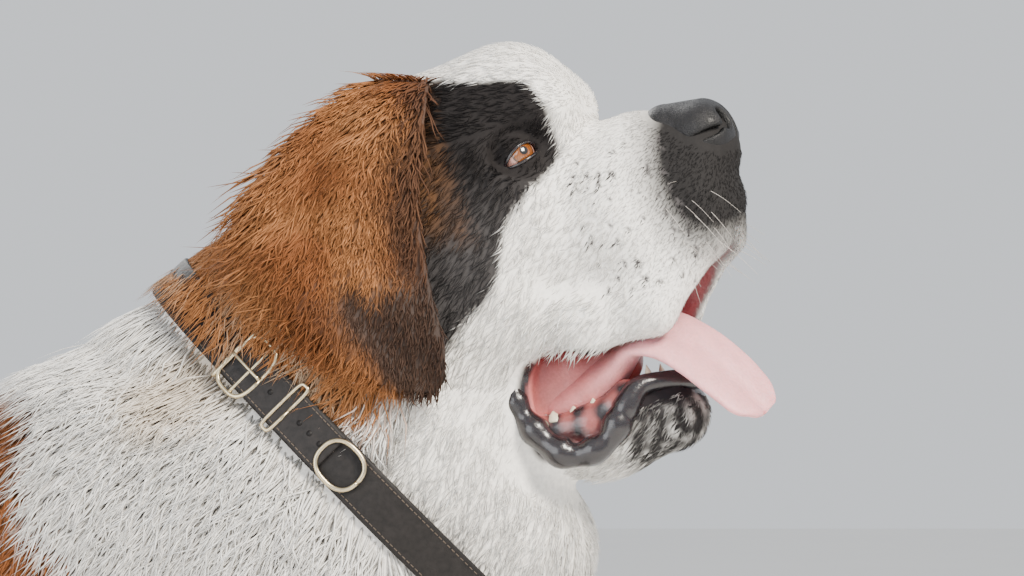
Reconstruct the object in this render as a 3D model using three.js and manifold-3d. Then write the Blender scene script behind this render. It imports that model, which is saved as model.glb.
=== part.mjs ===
// A sitting rough-coated Saint Bernard, life size, head raised and mouth open, with a leather collar.
// Millimetres, +Z up, the dog faces +X and its right side is -Y. Anatomy is laid out with the origin
// on the floor below the withers, and the finished group is moved so that its box stands on the origin.
import * as THREE from "three";
import { mergeVertices } from "three/addons/utils/BufferGeometryUtils.js";
import Module from "manifold-3d";

const wasm = await Module();
wasm.setup();

// Driving dimensions
const GAP = 0.45; // free space between two touching nodes
const COAT = 1; // share of the coat's depth that the solids fill
const PRESSED = 0.5; // the share left under the collar
const HEAD_YAW = -16; // degrees, turned to the dog's right
const HEAD_PITCH = 18; // degrees, nose raised
const EYE_LEVEL = new THREE.Vector3(245, -30, 800); // midpoint between the eyes
const HEAD_BACK = -110; // plane that parts head and neck, in the head's own x
const EYE = { x: 8, y: 48, z: -3, r: 13 };
const CLOSE = 1e-3;

const rad = THREE.MathUtils.degToRad;
const mix = THREE.MathUtils.lerp;
const clamp = THREE.MathUtils.clamp;
const point = (x, y, z) => new THREE.Vector3(x, y, z);
const Y_AXIS = point(0, 1, 0);
const UP = point(0, 0, 1);
const SIDES = { right: -1, left: 1 };

const headToWorld = new THREE.Matrix4()
  .makeTranslation(EYE_LEVEL.x, EYE_LEVEL.y, EYE_LEVEL.z)
  .multiply(new THREE.Matrix4().makeRotationZ(rad(HEAD_YAW)))
  .multiply(new THREE.Matrix4().makeRotationY(rad(-HEAD_PITCH)));
const worldToHead = headToWorld.clone().invert();
const fromHead = (x, y, z) => point(x, y, z).applyMatrix4(headToWorld);

// Body forms: each returns its distance to a point, where coat is the share of the coat's depth added

// The distance to an ellipse-sectioned form, from offsets along its three radii.
function ellipticDistance(a, b, c, ra, rb, rc) {
  const k0 = Math.hypot(a / ra, b / rb, c / rc);
  const k1 = Math.hypot(a / (ra * ra), b / (rb * rb), c / (rc * rc));
  return k1 < 1e-9 ? -Math.min(ra, rb, rc) : (k0 * (k0 - 1)) / k1;
}

// A chain of elliptic links. A station is [x, y, z, half width, half depth, coat depth].
function chain(stations, blend = 30, across = Y_AXIS) {
  const links = stations.slice(1).map((end, i) => {
    const start = stations[i];
    const from = point(...start.slice(0, 3));
    const along = point(...end.slice(0, 3)).sub(from);
    const length = along.length();
    along.normalize();
    const side = across.clone().addScaledVector(along, -across.dot(along)).normalize();
    return { start, end, from, along, length, side, normal: along.clone().cross(side) };
  });
  const q = point(0, 0, 0);
  return (p, coat) => {
    let best = Infinity;
    for (const l of links) {
      q.copy(p).sub(l.from);
      const run = q.dot(l.along);
      const t = clamp(run / l.length, 0, 1);
      const depth = coat * mix(l.start[5], l.end[5], t);
      const w = mix(l.start[3], l.end[3], t) + depth;
      const h = mix(l.start[4], l.end[4], t) + depth;
      const over = run - t * l.length;
      const d = ellipticDistance(q.dot(l.side), q.dot(l.normal), over, w, h, Math.min(w, h));
      best = smoothMin(best, d, blend);
    }
    return best;
  };
}

// An ellipsoid: centre, radii, coat depth, and a turn about Y in degrees.
function blob(centre, radii, coatDepth, turn = 0) {
  const c = Math.cos(rad(turn));
  const s = Math.sin(rad(turn));
  return (p, coat) => {
    const dx = p.x - centre[0];
    const dz = p.z - centre[2];
    const grow = coat * coatDepth;
    return ellipticDistance(
      dx * c - dz * s,
      p.y - centre[1],
      dx * s + dz * c,
      radii[0] + grow,
      radii[1] + grow,
      radii[2] + grow,
    );
  };
}

function smoothMin(a, b, k) {
  if (a === Infinity) return b;
  const h = Math.max(k - Math.abs(a - b), 0) / k;
  return Math.min(a, b) - (h * h * k) / 4;
}

const joined = (forms, k) => (p, coat) =>
  forms.reduce((d, form) => smoothMin(d, form(p, coat), k), Infinity);
const bothSides = (make) => [make(-1), make(1)];

// Trunk and neck
const spine = chain([
  [150, 0, 545, 100, 112, 38],
  [105, 0, 505, 122, 160, 36],
  [0, 0, 478, 136, 176, 32],
  [-105, 0, 408, 134, 168, 30],
  [-195, 0, 315, 127, 148, 28],
  [-250, 0, 215, 123, 120, 26],
  [-270, 0, 120, 118, 96, 25],
  [-262, 0, 90, 108, 80, 25],
], 40);
const neckColumn = chain([
  [120, 0, 570, 100, 118, 38],
  [126, -4, 650, 86, 102, 34],
  [...fromHead(-104, 0, -48).toArray(), 80, 90, 22],
], 30);
const trunk = joined([
  spine,
  neckColumn,
  blob([28, 0, 650], [56, 58, 48], 30),
  blob([190, 0, 455], [66, 88, 84], 40),
  blob([238, 0, 522], [42, 64, 34], 32),
  ...bothSides((s) => blob([74, s * 86, 490], [74, 50, 128], 26, -28)),
], 45);

// Limbs, one set for each side
const foreLimb = (s) => chain([
  [128, s * 88, 450, 48, 60, 18],
  [42, s * 114, 370, 43, 52, 14],
  [54, s * 106, 245, 35, 40, 10],
  [72, s * 100, 115, 34, 36, 7],
  [88, s * 99, 58, 37, 34, 6],
], 30);
const hindLimb = (s) => chain([
  [-235, s * 84, 180, 64, 98, 26],
  [-150, s * 126, 224, 54, 90, 24],
  [-72, s * 154, 254, 44, 56, 16],
], 40);
const shank = (s) => chain([
  [-74, s * 158, 240, 42, 50, 14],
  [-140, s * 158, 150, 34, 44, 12],
  [-212, s * 152, 64, 26, 34, 9],
], 25);
const hindFoot = (s) => chain([
  [-214, s * 152, 46, 28, 36, 9],
  [-125, s * 162, 34, 29, 28, 8],
  [-55, s * 170, 30, 36, 27, 6],
], 25);

const TOES = [
  { across: -31, ahead: 34, r: [25, 13.5, 20] },
  { across: -10.5, ahead: 45, r: [26, 13.5, 22] },
  { across: 10.5, ahead: 45, r: [26, 13.5, 22] },
  { across: 31, ahead: 34, r: [25, 13.5, 20] },
];
// A paw round its middle: the pad's body and four toes.
const paw = (x, y, z) => joined([
  blob([x, y, z], [46, 42, 31], 5),
  ...TOES.map((t) => blob([x + t.ahead, y + t.across, z - 8], t.r, 4)),
], 8);
const FORE_PAW = { x: 108, y: 100, z: 32 };
const HIND_PAW = { x: -22, y: 172, z: 30 };

const tail = chain([
  [-340, 0, 112, 34, 34, 18],
  [-395, 0, 70, 27, 27, 24],
  [-470, -8, 50, 21, 21, 27],
  [-575, -38, 45, 16, 16, 28],
  [-665, -90, 40, 11, 11, 26],
  [-725, -140, 34, 5, 5, 18],
], 20);

// The head, in its own frame: x along the muzzle, z up, the eyes at the origin's height
const skullForms = joined([
  blob([-46, 0, 20], [78, 68, 59], 6),
  blob([6, 0, 28], [44, 52, 52], 4),
  ...bothSides((s) => blob([30, s * 34, 26], [20, 18, 18], 4)),
  ...bothSides((s) => blob([-30, s * 52, -30], [46, 22, 42], 5)),
  ...bothSides((s) => blob([-56, s * 42, -84], [46, 34, 60], 8)),
  blob([-84, 0, -95], [56, 60, 84], 12),
], 26);
const muzzleForms = joined([
  chain([
    [20, 0, -30, 42, 32, 3],
    [80, 0, -32, 38, 32, 3],
    [122, 0, -36, 32, 30, 2],
  ], 20),
  ...bothSides((s) => chain([
    [10, s * 26, -68, 26, 44, 4],
    [62, s * 24, -70, 26, 42, 3],
    [112, s * 20, -64, 22, 30, 3],
  ], 20)),
  ...bothSides((s) => chain([
    [126, s * 9, -74, 12, 13, 3],
    [112, s * 22, -92, 12, 18, 3],
    [64, s * 37, -132, 12, 18, 3],
    [14, s * 42, -132, 12, 18, 3],
    [-34, s * 43, -114, 12, 17, 3],
  ], 16)),
], 18);
const smoothMax = (a, b, k) => -smoothMin(-a, -b, k);
const sockets = bothSides((s) => blob([EYE.x + 10, s * (EYE.y + 13), EYE.z + 2], [24, 15, 15], 0));
const headLocal = (p, coat) => {
  let d = smoothMin(skullForms(p, coat), muzzleForms(p, coat), 24);
  for (const socket of sockets) d = smoothMax(d, -socket(p, 0), 12);
  return d;
};
const headPoint = point(0, 0, 0);
const inHeadFrame = (form) => (p, coat) => form(headPoint.copy(p).applyMatrix4(worldToHead), coat);
const head = inHeadFrame(headLocal);
const headAndNeck = (p, coat) => smoothMin(head(p, coat), neckColumn(p, coat), 40);
const headAndTrunk = (p, coat) => smoothMin(head(p, coat), trunk(p, coat), 40);
const jaw = inHeadFrame(chain([
  [-54, 0, -166, 42, 42, 4],
  [0, 0, -198, 38, 34, 4],
  [48, 0, -206, 29, 25, 4],
], 18));
const noseForm = inHeadFrame(joined([
  chain([
    [106, 0, -14, 27, 18, 0],
    [130, 0, -22, 28, 22, 0],
  ], 10),
  ...bothSides((s) => blob([132, s * 17, -26], [19, 15, 18], 0)),
  blob([136, 0, -32], [16, 22, 18], 0),
], 8));
const tongueForm = inHeadFrame(chain([
  [-30, -1, -184, 24, 26, 0],
  [14, -6, -166, 27, 15, 0],
  [46, -14, -148, 28, 8, 0],
  [78, -18, -170, 28, 6, 0],
  [104, -20, -206, 27, 6, 0],
  [112, -20, -226, 20, 5, 0],
], 8, point(0.3, 0.8, 0.5)));

// Solids: manifold bodies from closed three.js geometry

function solidOf(geometry) {
  const bare = geometry.index ? geometry.toNonIndexed() : geometry.clone();
  for (const name of ["normal", "uv"]) bare.deleteAttribute(name);
  const merged = mergeVertices(bare, CLOSE);
  return new wasm.Manifold(new wasm.Mesh({
    numProp: 3,
    vertProperties: merged.attributes.position.array,
    triVerts: new Uint32Array(merged.index.array),
  }));
}

function geometryOf(solid) {
  const mesh = solid.getMesh();
  return new THREE.BufferGeometry()
    .setAttribute("position", new THREE.BufferAttribute(mesh.vertProperties, mesh.numProp))
    .setIndex(new THREE.BufferAttribute(mesh.triVerts, 1))
    .toNonIndexed();
}

// Closes rows of points, each a ring of equal count, into one solid.
// A row may be one point, where the form ends in a pole.
function skinned(rows) {
  const triangles = [];
  const face = (a, b, c) => triangles.push(...a.toArray(), ...b.toArray(), ...c.toArray());
  const fan = (ring, pole, flip) => ring.forEach((p, i) => {
    const next = ring[(i + 1) % ring.length];
    if (flip) face(next, p, pole);
    else face(p, next, pole);
  });
  const middle = (ring) => ring.reduce((sum, p) => sum.add(p), point(0, 0, 0)).divideScalar(ring.length);
  const first = rows[0];
  const last = rows[rows.length - 1];
  if (first.length > 1) fan(first, middle(first), true);
  for (let r = 1; r < rows.length; r++) {
    const a = rows[r - 1];
    const b = rows[r];
    if (a.length === 1) fan(b, a[0], true);
    else if (b.length === 1) fan(a, b[0], false);
    else {
      a.forEach((p, i) => {
        const j = (i + 1) % a.length;
        face(p, a[j], b[j]);
        face(p, b[j], b[i]);
      });
    }
  }
  if (last.length > 1) fan(last, middle(last), false);
  const geometry = new THREE.BufferGeometry()
    .setAttribute("position", new THREE.Float32BufferAttribute(triangles, 3));
  return solidOf(geometry);
}

// How far out of a form's middle its surface lies in one direction.
function reach(form, coat, from, direction, most) {
  const p = point(0, 0, 0);
  const step = 5;
  let inside = 0;
  let outside = most;
  for (let r = step; r < most; r += step) {
    if (form(p.copy(from).addScaledVector(direction, r), coat) > 0) {
      outside = r;
      break;
    }
    inside = r;
  }
  if (inside + step >= most) return most;
  for (let i = 0; i < 12; i++) {
    const r = (inside + outside) / 2;
    if (form(p.copy(from).addScaledVector(direction, r), coat) > 0) outside = r;
    else inside = r;
  }
  return inside;
}

// Wraps a form in rings round a path. A station has a middle, a direction along the path and, if
// the rays may run into a neighbour, the most they may reach. Either end can be a dome.
function wrap(form, { stations, sides, coat = COAT, up = point(-1, 0, 1), domes = [0, 0] }) {
  const rows = [];
  const ringAt = (station, tilt) => {
    const along = station.along.clone().normalize();
    const side = up.clone().cross(along).normalize();
    const high = along.clone().cross(side).normalize();
    const ring = [];
    for (let i = 0; i < sides; i++) {
      const a = (2 * Math.PI * i) / sides;
      const out = high.clone().multiplyScalar(Math.cos(a)).addScaledVector(side, -Math.sin(a));
      out.multiplyScalar(Math.cos(tilt)).addScaledVector(along, Math.sin(tilt));
      const r = reach(form, coat, station.middle, out, station.most ?? 400);
      ring.push(station.middle.clone().addScaledVector(out, r));
    }
    return ring;
  };
  const poleAt = (station, sign) => {
    const out = station.along.clone().normalize().multiplyScalar(sign);
    const r = reach(form, coat, station.middle, out, station.most ?? 400);
    return [station.middle.clone().addScaledVector(out, r)];
  };
  const first = stations[0];
  const last = stations[stations.length - 1];
  if (domes[0]) {
    rows.push(poleAt(first, -1));
    for (let i = domes[0] - 1; i > 0; i--) rows.push(ringAt(first, (-Math.PI / 2) * (i / domes[0])));
  }
  stations.forEach((s) => rows.push(ringAt(s, 0)));
  if (domes[1]) {
    for (let i = 1; i < domes[1]; i++) rows.push(ringAt(last, (Math.PI / 2) * (i / domes[1])));
    rows.push(poleAt(last, 1));
  }
  return skinned(rows);
}

// Stations evenly spaced along a smooth line through [x, y, z, direction x, y, z] control rows.
function stationsThrough(controls, count, most) {
  const middles = new THREE.CatmullRomCurve3(controls.map((c) => point(c[0], c[1], c[2])));
  const directions = controls.map((c) => point(c[3], c[4], c[5]).normalize());
  return Array.from({ length: count }, (_, i) => {
    const t = i / (count - 1);
    const u = t * (controls.length - 1);
    const k = Math.min(Math.floor(u), controls.length - 2);
    const along = directions[k].clone().lerp(directions[k + 1], u - k).normalize();
    return { middle: middles.getPoint(t), along, most };
  });
}

// A box between two corners.
function boxOf(low, high) {
  const size = high.clone().sub(low);
  const middle = low.clone().add(high).multiplyScalar(0.5);
  return solidOf(new THREE.BoxGeometry(...size.toArray()).translate(...middle.toArray()));
}

// All the space on one side of a plane, as a box whose face lies on it.
function beyond(middle, axis, gap = 0) {
  const turn = new THREE.Quaternion().setFromUnitVectors(UP, axis.clone().normalize());
  const at = middle.clone().addScaledVector(axis.clone().normalize(), 700 + gap);
  return solidOf(new THREE.BoxGeometry(1400, 1400, 1400).applyQuaternion(turn).translate(...at.toArray()));
}

// A ball stretched to radii, in the head's frame or the world's.
function ballOf(centre, radii, frame, columns = 14, rows = 9) {
  const ball = new THREE.SphereGeometry(1, columns, rows).scale(...radii).translate(...centre);
  return solidOf(frame ? ball.applyMatrix4(frame) : ball);
}

// Keeps the largest closed body of a solid.
function largest(solid) {
  const pieces = solid.decompose();
  return pieces.reduce((best, piece) => (piece.volume() > best.volume() ? piece : best), pieces[0]);
}

// The geometry of a solid's largest body, once its near-alike points are merged and no scrap is left.
function settled(solid) {
  let geometry = geometryOf(largest(solid));
  for (let round = 0; round < 6; round++) {
    const pieces = solidOf(geometry).decompose();
    if (pieces.length === 1) break;
    geometry = geometryOf(largest(solidOf(geometry)));
  }
  return geometry;
}

// Nodes
const BELOW = boxOf(point(-1500, -1500, -500), point(1500, 1500, 0));
const root = new THREE.Group();
const add = (name, solid, colour, roughness = 0.9, metalness = 0) => {
  const material = new THREE.MeshStandardMaterial({ color: colour, roughness, metalness });
  const mesh = new THREE.Mesh(settled(solid.subtract(BELOW)), material);
  mesh.name = name;
  root.add(mesh);
};
const cut = (solid, ...others) => others.reduce((left, other) => left.subtract(other), solid);
// A solid grown by the gap that its neighbours keep: itself, moved a little every way.
function grown(solid) {
  const geometry = geometryOf(solid);
  const shifts = [0, 1, 2].flatMap((axis) => [-GAP, GAP].map((by) => point(0, 0, 0).setComponent(axis, by)));
  const moved = shifts.map((shift) => solidOf(geometry.clone().translate(...shift.toArray())));
  return moved.reduce((whole, copy) => whole.add(copy), solid);
}

const pair = (form, options) => {
  const solid = wrap(form, options);
  return [solid, grown(solid)];
};

const WHITE = 0xf2ece2;
const RED = 0xa8562a;
const BLACK = 0x2a2320;
const headward = fromHead(1, 0, 0).sub(fromHead(0, 0, 0));
const tailward = headward.clone().negate();
const inHead = (x, z, dx = 1, dz = 0, y = 0) => [
  ...fromHead(x, y, z).toArray(),
  ...fromHead(dx, 0, dz).sub(fromHead(0, 0, 0)).toArray(),
];
const COLLAR = { middle: [122, 0, 582], axis: [0.714, 0, 0.7], width: 34, thick: 5 };
const WAIST = { middle: [-62, 0, 436], axis: [-0.78, 0, -0.63] };

const collarPlane = point(...COLLAR.middle);
const collarAlong = point(...COLLAR.axis).normalize();

// Collar: a leather band round the coat, with its buckle, keeper and ring on the right side
const collarUp = point(-COLLAR.axis[2], 0, COLLAR.axis[0]).normalize();
const collarForm = (p, coat) => smoothMin(trunk(p, coat), neckColumn(p, coat), 30);

function collarRing(lift, width, sides = 44) {
  return [-0.5, 0.5].map((end) => Array.from({ length: sides }, (_, i) => {
    const a = (2 * Math.PI * i) / sides;
    const out = collarUp.clone().multiplyScalar(Math.cos(a)).addScaledVector(Y_AXIS, -Math.sin(a));
    const r = reach(collarForm, PRESSED, collarPlane, out, 260) + lift;
    return collarPlane.clone().addScaledVector(out, r).addScaledVector(collarAlong, end * width);
  }));
}
const CLEAR = 1;
const PARTING = { width: 46, depth: 60 }; // the strip of coat that the collar and its fittings press apart
const ringOf = (low, high, width) => skinned(collarRing(high, width)).subtract(skinned(collarRing(low, width + 12)));
const parting = ringOf(CLEAR - GAP, PARTING.depth, PARTING.width);
add("collar", ringOf(CLEAR, CLEAR + COLLAR.thick, COLLAR.width), BLACK, 0.5);

// A frame that lies on the collar where a ray at an angle from its top meets it.
function onCollar(angle, make) {
  const a = rad(angle);
  const out = collarUp.clone().multiplyScalar(Math.cos(a)).addScaledVector(Y_AXIS, -Math.sin(a));
  const step = collarUp.clone().multiplyScalar(Math.cos(a + 0.05)).addScaledVector(Y_AXIS, -Math.sin(a + 0.05));
  const lift = CLEAR + COLLAR.thick + GAP;
  const at = out.clone().multiplyScalar(reach(collarForm, PRESSED, collarPlane, out, 260) + lift);
  const next = step.multiplyScalar(reach(collarForm, PRESSED, collarPlane, step, 260) + lift);
  const along = next.sub(at).normalize();
  const normal = along.clone().cross(collarAlong).normalize();
  if (normal.dot(out) < 0) normal.negate();
  const frame = new THREE.Matrix4()
    .makeBasis(along, normal.clone().cross(along), normal)
    .setPosition(at.add(collarPlane));
  return solidOf(make().applyMatrix4(frame));
}

// A flat frame with an open middle: length along the strap, width across it, bar and thickness.
function flatFrame(length, width, bar, thick, lift = 0) {
  const outer = new THREE.Shape();
  const half = [length / 2, width / 2];
  outer.moveTo(-half[0], -half[1]).lineTo(half[0], -half[1]).lineTo(half[0], half[1]).lineTo(-half[0], half[1]);
  outer.closePath();
  const hole = new THREE.Path();
  hole.moveTo(bar - half[0], bar - half[1]).lineTo(bar - half[0], half[1] - bar);
  hole.lineTo(half[0] - bar, half[1] - bar).lineTo(half[0] - bar, bar - half[1]).closePath();
  outer.holes.push(hole);
  return new THREE.ExtrudeGeometry(outer, { depth: thick, bevelEnabled: false }).translate(0, 0, lift);
}
const METAL = 0xb9a06a;
const trim = [
  ["collar_buckle", 50, () => flatFrame(30, 42, 4, 4, 1.2)],
  ["collar_keeper", 66, () => flatFrame(9, 40, 2.5, 3, 1)],
  ["collar_ring", 88, () => flatFrame(26, 36, 4, 4, 1.2)],
];
for (const [name, angle, make] of trim) add(name, onCollar(angle, make), METAL, 0.35, 0.9);

// Head
const headOptions = {
  stations: stationsThrough([
    inHead(HEAD_BACK + GAP, -48),
    inHead(-60, -46),
    inHead(0, -48),
    inHead(60, -54),
    inHead(92, -54),
  ], 16, 190),
  sides: 34,
  domes: [0, 6],
  up: UP,
};
const headSolid = cut(
  wrap(headAndNeck, headOptions),
  beyond(collarPlane, collarAlong.clone().negate(), -GAP),
  parting,
);
const headGrown = grown(headSolid);

// Nose leather, with a nostril cut on each side
const noseOptions = {
  stations: stationsThrough([inHead(104, -16), inHead(134, -24)], 3, 60),
  sides: 22,
  domes: [2, 4],
  up: UP,
};
const [noseWhole, noseGrown] = pair(noseForm, noseOptions);
const nostrils = [-1, 1].flatMap((s) => [
  ballOf([146, s * 14, -20], [12, 6.5, 8], headToWorld, 8, 6),
  ballOf([138, s * 27, -29], [13, 7, 3.2], headToWorld, 8, 6),
]);
const noseSolid = cut(noseWhole, ...nostrils);

// Lower jaw, scooped for the floor of the mouth
const jawOptions = {
  stations: stationsThrough([
    inHead(-52, -168, 0.85, -0.5),
    inHead(0, -198, 0.95, -0.3),
    inHead(46, -206, 1, -0.1),
  ], 8, 90),
  sides: 24,
  domes: [3, 4],
  up: UP,
};
const floorScoop = ballOf([14, 0, -166], [56, 27, 32], headToWorld, 12, 8);
const lipScoop = ballOf([-8, 0, -174], [37, 70, 41], headToWorld, 14, 9);

// A round cord through points of the head's frame.
function cord(points, radius, sides, steps) {
  const curve = new THREE.CatmullRomCurve3(points.map((p) => fromHead(...p)));
  const rows = Array.from({ length: steps + 1 }, (_, i) => {
    const t = i / steps;
    const along = curve.getTangentAt(t);
    const side = along.clone().cross(point(0.31, 0.87, 0.37)).normalize();
    const high = along.clone().cross(side);
    return Array.from({ length: sides }, (_, k) => {
      const a = (2 * Math.PI * k) / sides;
      return curve.getPointAt(t)
        .addScaledVector(side, radius * Math.cos(a))
        .addScaledVector(high, radius * Math.sin(a));
    });
  });
  return skinned(rows);
}

// The drooping lower lip, one cord for each side
const LOWER_LIP = [
  [-44, 41, -140], [-48, 43, -164], [-39, 42, -192], [-22, 41, -213],
  [4, 38, -213], [22, 34, -194], [40, 28, -180], [60, 18, -184], [70, 4, -186],
];
const LIP_RADIUS = 6;
const lips = bothSides((s) => cord(LOWER_LIP.map(([x, y, z]) => [x, s * y, z]), LIP_RADIUS, 7, 16));
const jawSolid = lips.reduce((whole, lip) => whole.add(lip), cut(wrap(jaw, jawOptions), floorScoop, lipScoop));

// Lids: an upper and a lower rim about each eye's opening
const LID_THICK = 3;
const lids = bothSides((s) => {
  const gaze = point(0.64, s * 0.76, 0.1).normalize();
  const ahead = point(0.76, -s * 0.64, 0.12);
  ahead.addScaledVector(gaze, -ahead.dot(gaze)).normalize();
  const high = gaze.clone().cross(ahead);
  if (high.z < 0) high.negate();
  return [-1, 1].map((half) => {
    const rim = Array.from({ length: 6 }, (_, i) => {
      const a = (Math.PI * i) / 5;
      const x = 14.5 * Math.cos(a);
      const y = half * 6.6 * Math.sin(a) + 0.16 * x - 1;
      const out = Math.sqrt((EYE.r + 2.5) ** 2 - x * x - y * y);
      return point(EYE.x, s * EYE.y, EYE.z)
        .addScaledVector(ahead, x).addScaledVector(high, y).addScaledVector(gaze, out).toArray();
    });
    return cord(rim, LID_THICK, 6, 7);
  });
}).flat();

// Tongue
const tongueOptions = {
  stations: stationsThrough([
    inHead(-28, -183, 0.9, 0.4, -1),
    inHead(14, -166, 0.92, 0.35, -6),
    inHead(46, -149, 1, -0.1, -14),
    inHead(78, -170, 0.75, -0.7, -18),
    inHead(104, -206, 0.4, -0.92, -20),
    inHead(110, -222, 0.35, -0.94, -20),
  ], 12, 45),
  sides: 14,
  domes: [3, 3],
  up: point(0.4, -0.6, 0.7),
};
const [tongueSolid, tongueGrown] = pair(tongueForm, tongueOptions);

const eyeBalls = bothSides((s) => ballOf([EYE.x, s * EYE.y, EYE.z], [EYE.r, EYE.r, EYE.r], headToWorld));
const eyeHoles = bothSides((s) => {
  const r = EYE.r + GAP;
  return ballOf([EYE.x, s * EYE.y, EYE.z], [r, r, r], headToWorld);
});

const headLidded = lids.reduce((whole, lid) => whole.add(lid), headSolid);
add("head", cut(headLidded, noseGrown, tongueGrown, ...eyeHoles), WHITE);
add("nose", noseSolid, 0x2b2a2c, 0.45);
["right", "left"].forEach((name, i) => add(`eye_${name}`, eyeBalls[i], 0x8a4a1c, 0.1));
add("tongue", tongueSolid, 0xe99aa6, 0.5);

// Neck, torso
const neckOptions = {
  stations: stationsThrough([
    [122, 0, 582, ...COLLAR.axis],
    [152, 0, 634, ...COLLAR.axis],
    [176, -6, 700, 0.62, 0, 0.78],
  ], 6, 185),
  sides: 30,
  domes: [0, 4],
  up: point(-0.7, 0, 0.71),
};
const headPlane = fromHead(HEAD_BACK, 0, -48);
const waistPlane = point(...WAIST.middle);
const waistAlong = point(...WAIST.axis).normalize();
const neckSolid = cut(
  wrap(headAndTrunk, neckOptions),
  beyond(headPlane, headward),
  beyond(collarPlane, collarAlong.clone().negate()),
  parting,
);
const neckGrown = grown(neckSolid);
const frontOptions = {
  stations: stationsThrough([
    [...point(...COLLAR.middle).addScaledVector(point(...COLLAR.axis), -GAP).toArray(),
      ...COLLAR.axis.map((v) => -v)],
    [40, 0, 500, -0.77, 0, -0.64],
    [...WAIST.middle, ...WAIST.axis],
  ], 7, 260),
  sides: 30,
  up: UP,
};
const frontSolid = cut(
  wrap(trunk, frontOptions),
  beyond(collarPlane, collarAlong, -GAP),
  beyond(waistPlane, waistAlong),
  parting,
);
const frontGrown = grown(frontSolid);
const rearOptions = {
  stations: stationsThrough([
    [...point(...WAIST.middle).addScaledVector(point(...WAIST.axis), GAP).toArray(), ...WAIST.axis],
    [-150, 0, 362, -0.7, 0, -0.7],
    [-225, 0, 250, -0.5, 0, -0.87],
    [-255, 0, 150, -0.3, 0, -0.95],
  ], 8, 260),
  sides: 30,
  domes: [0, 4],
  up: UP,
};
const rearSolid = cut(wrap(trunk, rearOptions), beyond(waistPlane, waistAlong.clone().negate(), -GAP));
const rearGrown = grown(rearSolid);
add("neck", cut(neckSolid, headGrown), WHITE);
add("lower_jaw", cut(jawSolid, headGrown, neckGrown, tongueGrown), WHITE);
add("torso_front", cut(frontSolid, neckGrown, headGrown), WHITE);
add("torso_rear", cut(rearSolid, neckGrown, frontGrown), RED);

// Legs
for (const [side, s] of Object.entries(SIDES)) {
  const fore = foreLimb(s);
  const [foreSolid, foreGrown] = pair(fore, {
    stations: stationsThrough([
      [120, s * 90, 440, -0.7, 0, -0.7],
      [46, s * 113, 362, -0.2, 0, -1],
      [54, s * 106, 245, 0.1, 0, -1],
      [74, s * 100, 108, 0.15, 0, -1],
    ], 9, 110),
    sides: 14,
    domes: [3, 0],
    up: point(-1, 0, 0.2),
  });
  add(`foreleg_${side}`, cut(foreSolid, frontGrown, rearGrown), WHITE);
  const forePaw = paw(FORE_PAW.x, s * FORE_PAW.y, FORE_PAW.z);
  const pawForm = (p, coat) => smoothMin(forePaw(p, coat), fore(p, coat), 20);
  const [pawSolid] = pair(pawForm, {
    stations: stationsThrough([
      [74 + 0.15 * GAP, s * 100, 108 - 2 * GAP, 0.15, 0, -1],
      [90, s * 100, 70, 0.3, 0, -1],
      [106, s * 100, 44, 0.3, 0, -1],
    ], 4, 90),
    sides: 22,
    domes: [0, 4],
    up: point(-1, 0, 0.2),
  });
  add(`forepaw_${side}`, pawSolid, WHITE);

  const thigh = hindLimb(s);
  const [thighSolid, thighGrown] = pair(thigh, {
    stations: stationsThrough([
      [-225, s * 88, 186, 0.85, s * 0.4, 0.35],
      [-150, s * 126, 222, 0.88, s * 0.38, 0.3],
      [-78, s * 152, 252, 0.9, s * 0.3, 0.3],
    ], 5, 150),
    sides: 16,
    domes: [3, 4],
    up: UP,
  });
  add(`thigh_${side}`, cut(thighSolid, rearGrown, frontGrown, foreGrown), RED);
  const [shankSolid, shankGrown] = pair(shank(s), {
    stations: stationsThrough([
      [-84, s * 158, 226, -0.6, 0, -0.8],
      [-140, s * 158, 150, -0.62, 0, -0.78],
      [-204, s * 153, 70, -0.64, 0, -0.77],
    ], 5, 90),
    sides: 14,
    domes: [3, 3],
    up: UP,
  });
  add(`hindleg_${side}`, cut(shankSolid, rearGrown, thighGrown, frontGrown), WHITE);
  const hindPaw = paw(HIND_PAW.x, s * HIND_PAW.y, HIND_PAW.z);
  const foot = hindFoot(s);
  const [hindSolid] = pair((p, coat) => smoothMin(hindPaw(p, coat), foot(p, coat), 20), {
    stations: stationsThrough([
      [-208, s * 152, 46, 1, s * 0.05, -0.05],
      [-120, s * 162, 34, 1, s * 0.08, 0],
      [-30, s * 171, 28, 1, s * 0.05, 0],
    ], 8, 90),
    sides: 18,
    domes: [2, 4],
    up: UP,
  });
  add(`hindpaw_${side}`, cut(hindSolid, shankGrown, rearGrown, thighGrown), WHITE);
}

// Ears: rows down the flap, in the head's frame, [x, z, half width, half thickness]
const EAR_ROWS = [
  [-58, 76, 27, 9],
  [-78, 56, 44, 10],
  [-104, 22, 60, 11],
  [-119, -18, 69, 11],
  [-119, -58, 64, 11],
  [-107, -98, 50, 10],
  [-98, -127, 31, 8],
  [-94, -142, 15, 5],
];
const EAR_SIDES = 14;
const EAR_ACROSS = [0.92, -0.39]; // the flap's width runs forward and down, in the head's x and z
const EAR_STIFF = 16; // how far its edges may fall in after what it lies on
const EAR_SUNK = 3; // how deep it lies in the coat

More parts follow.
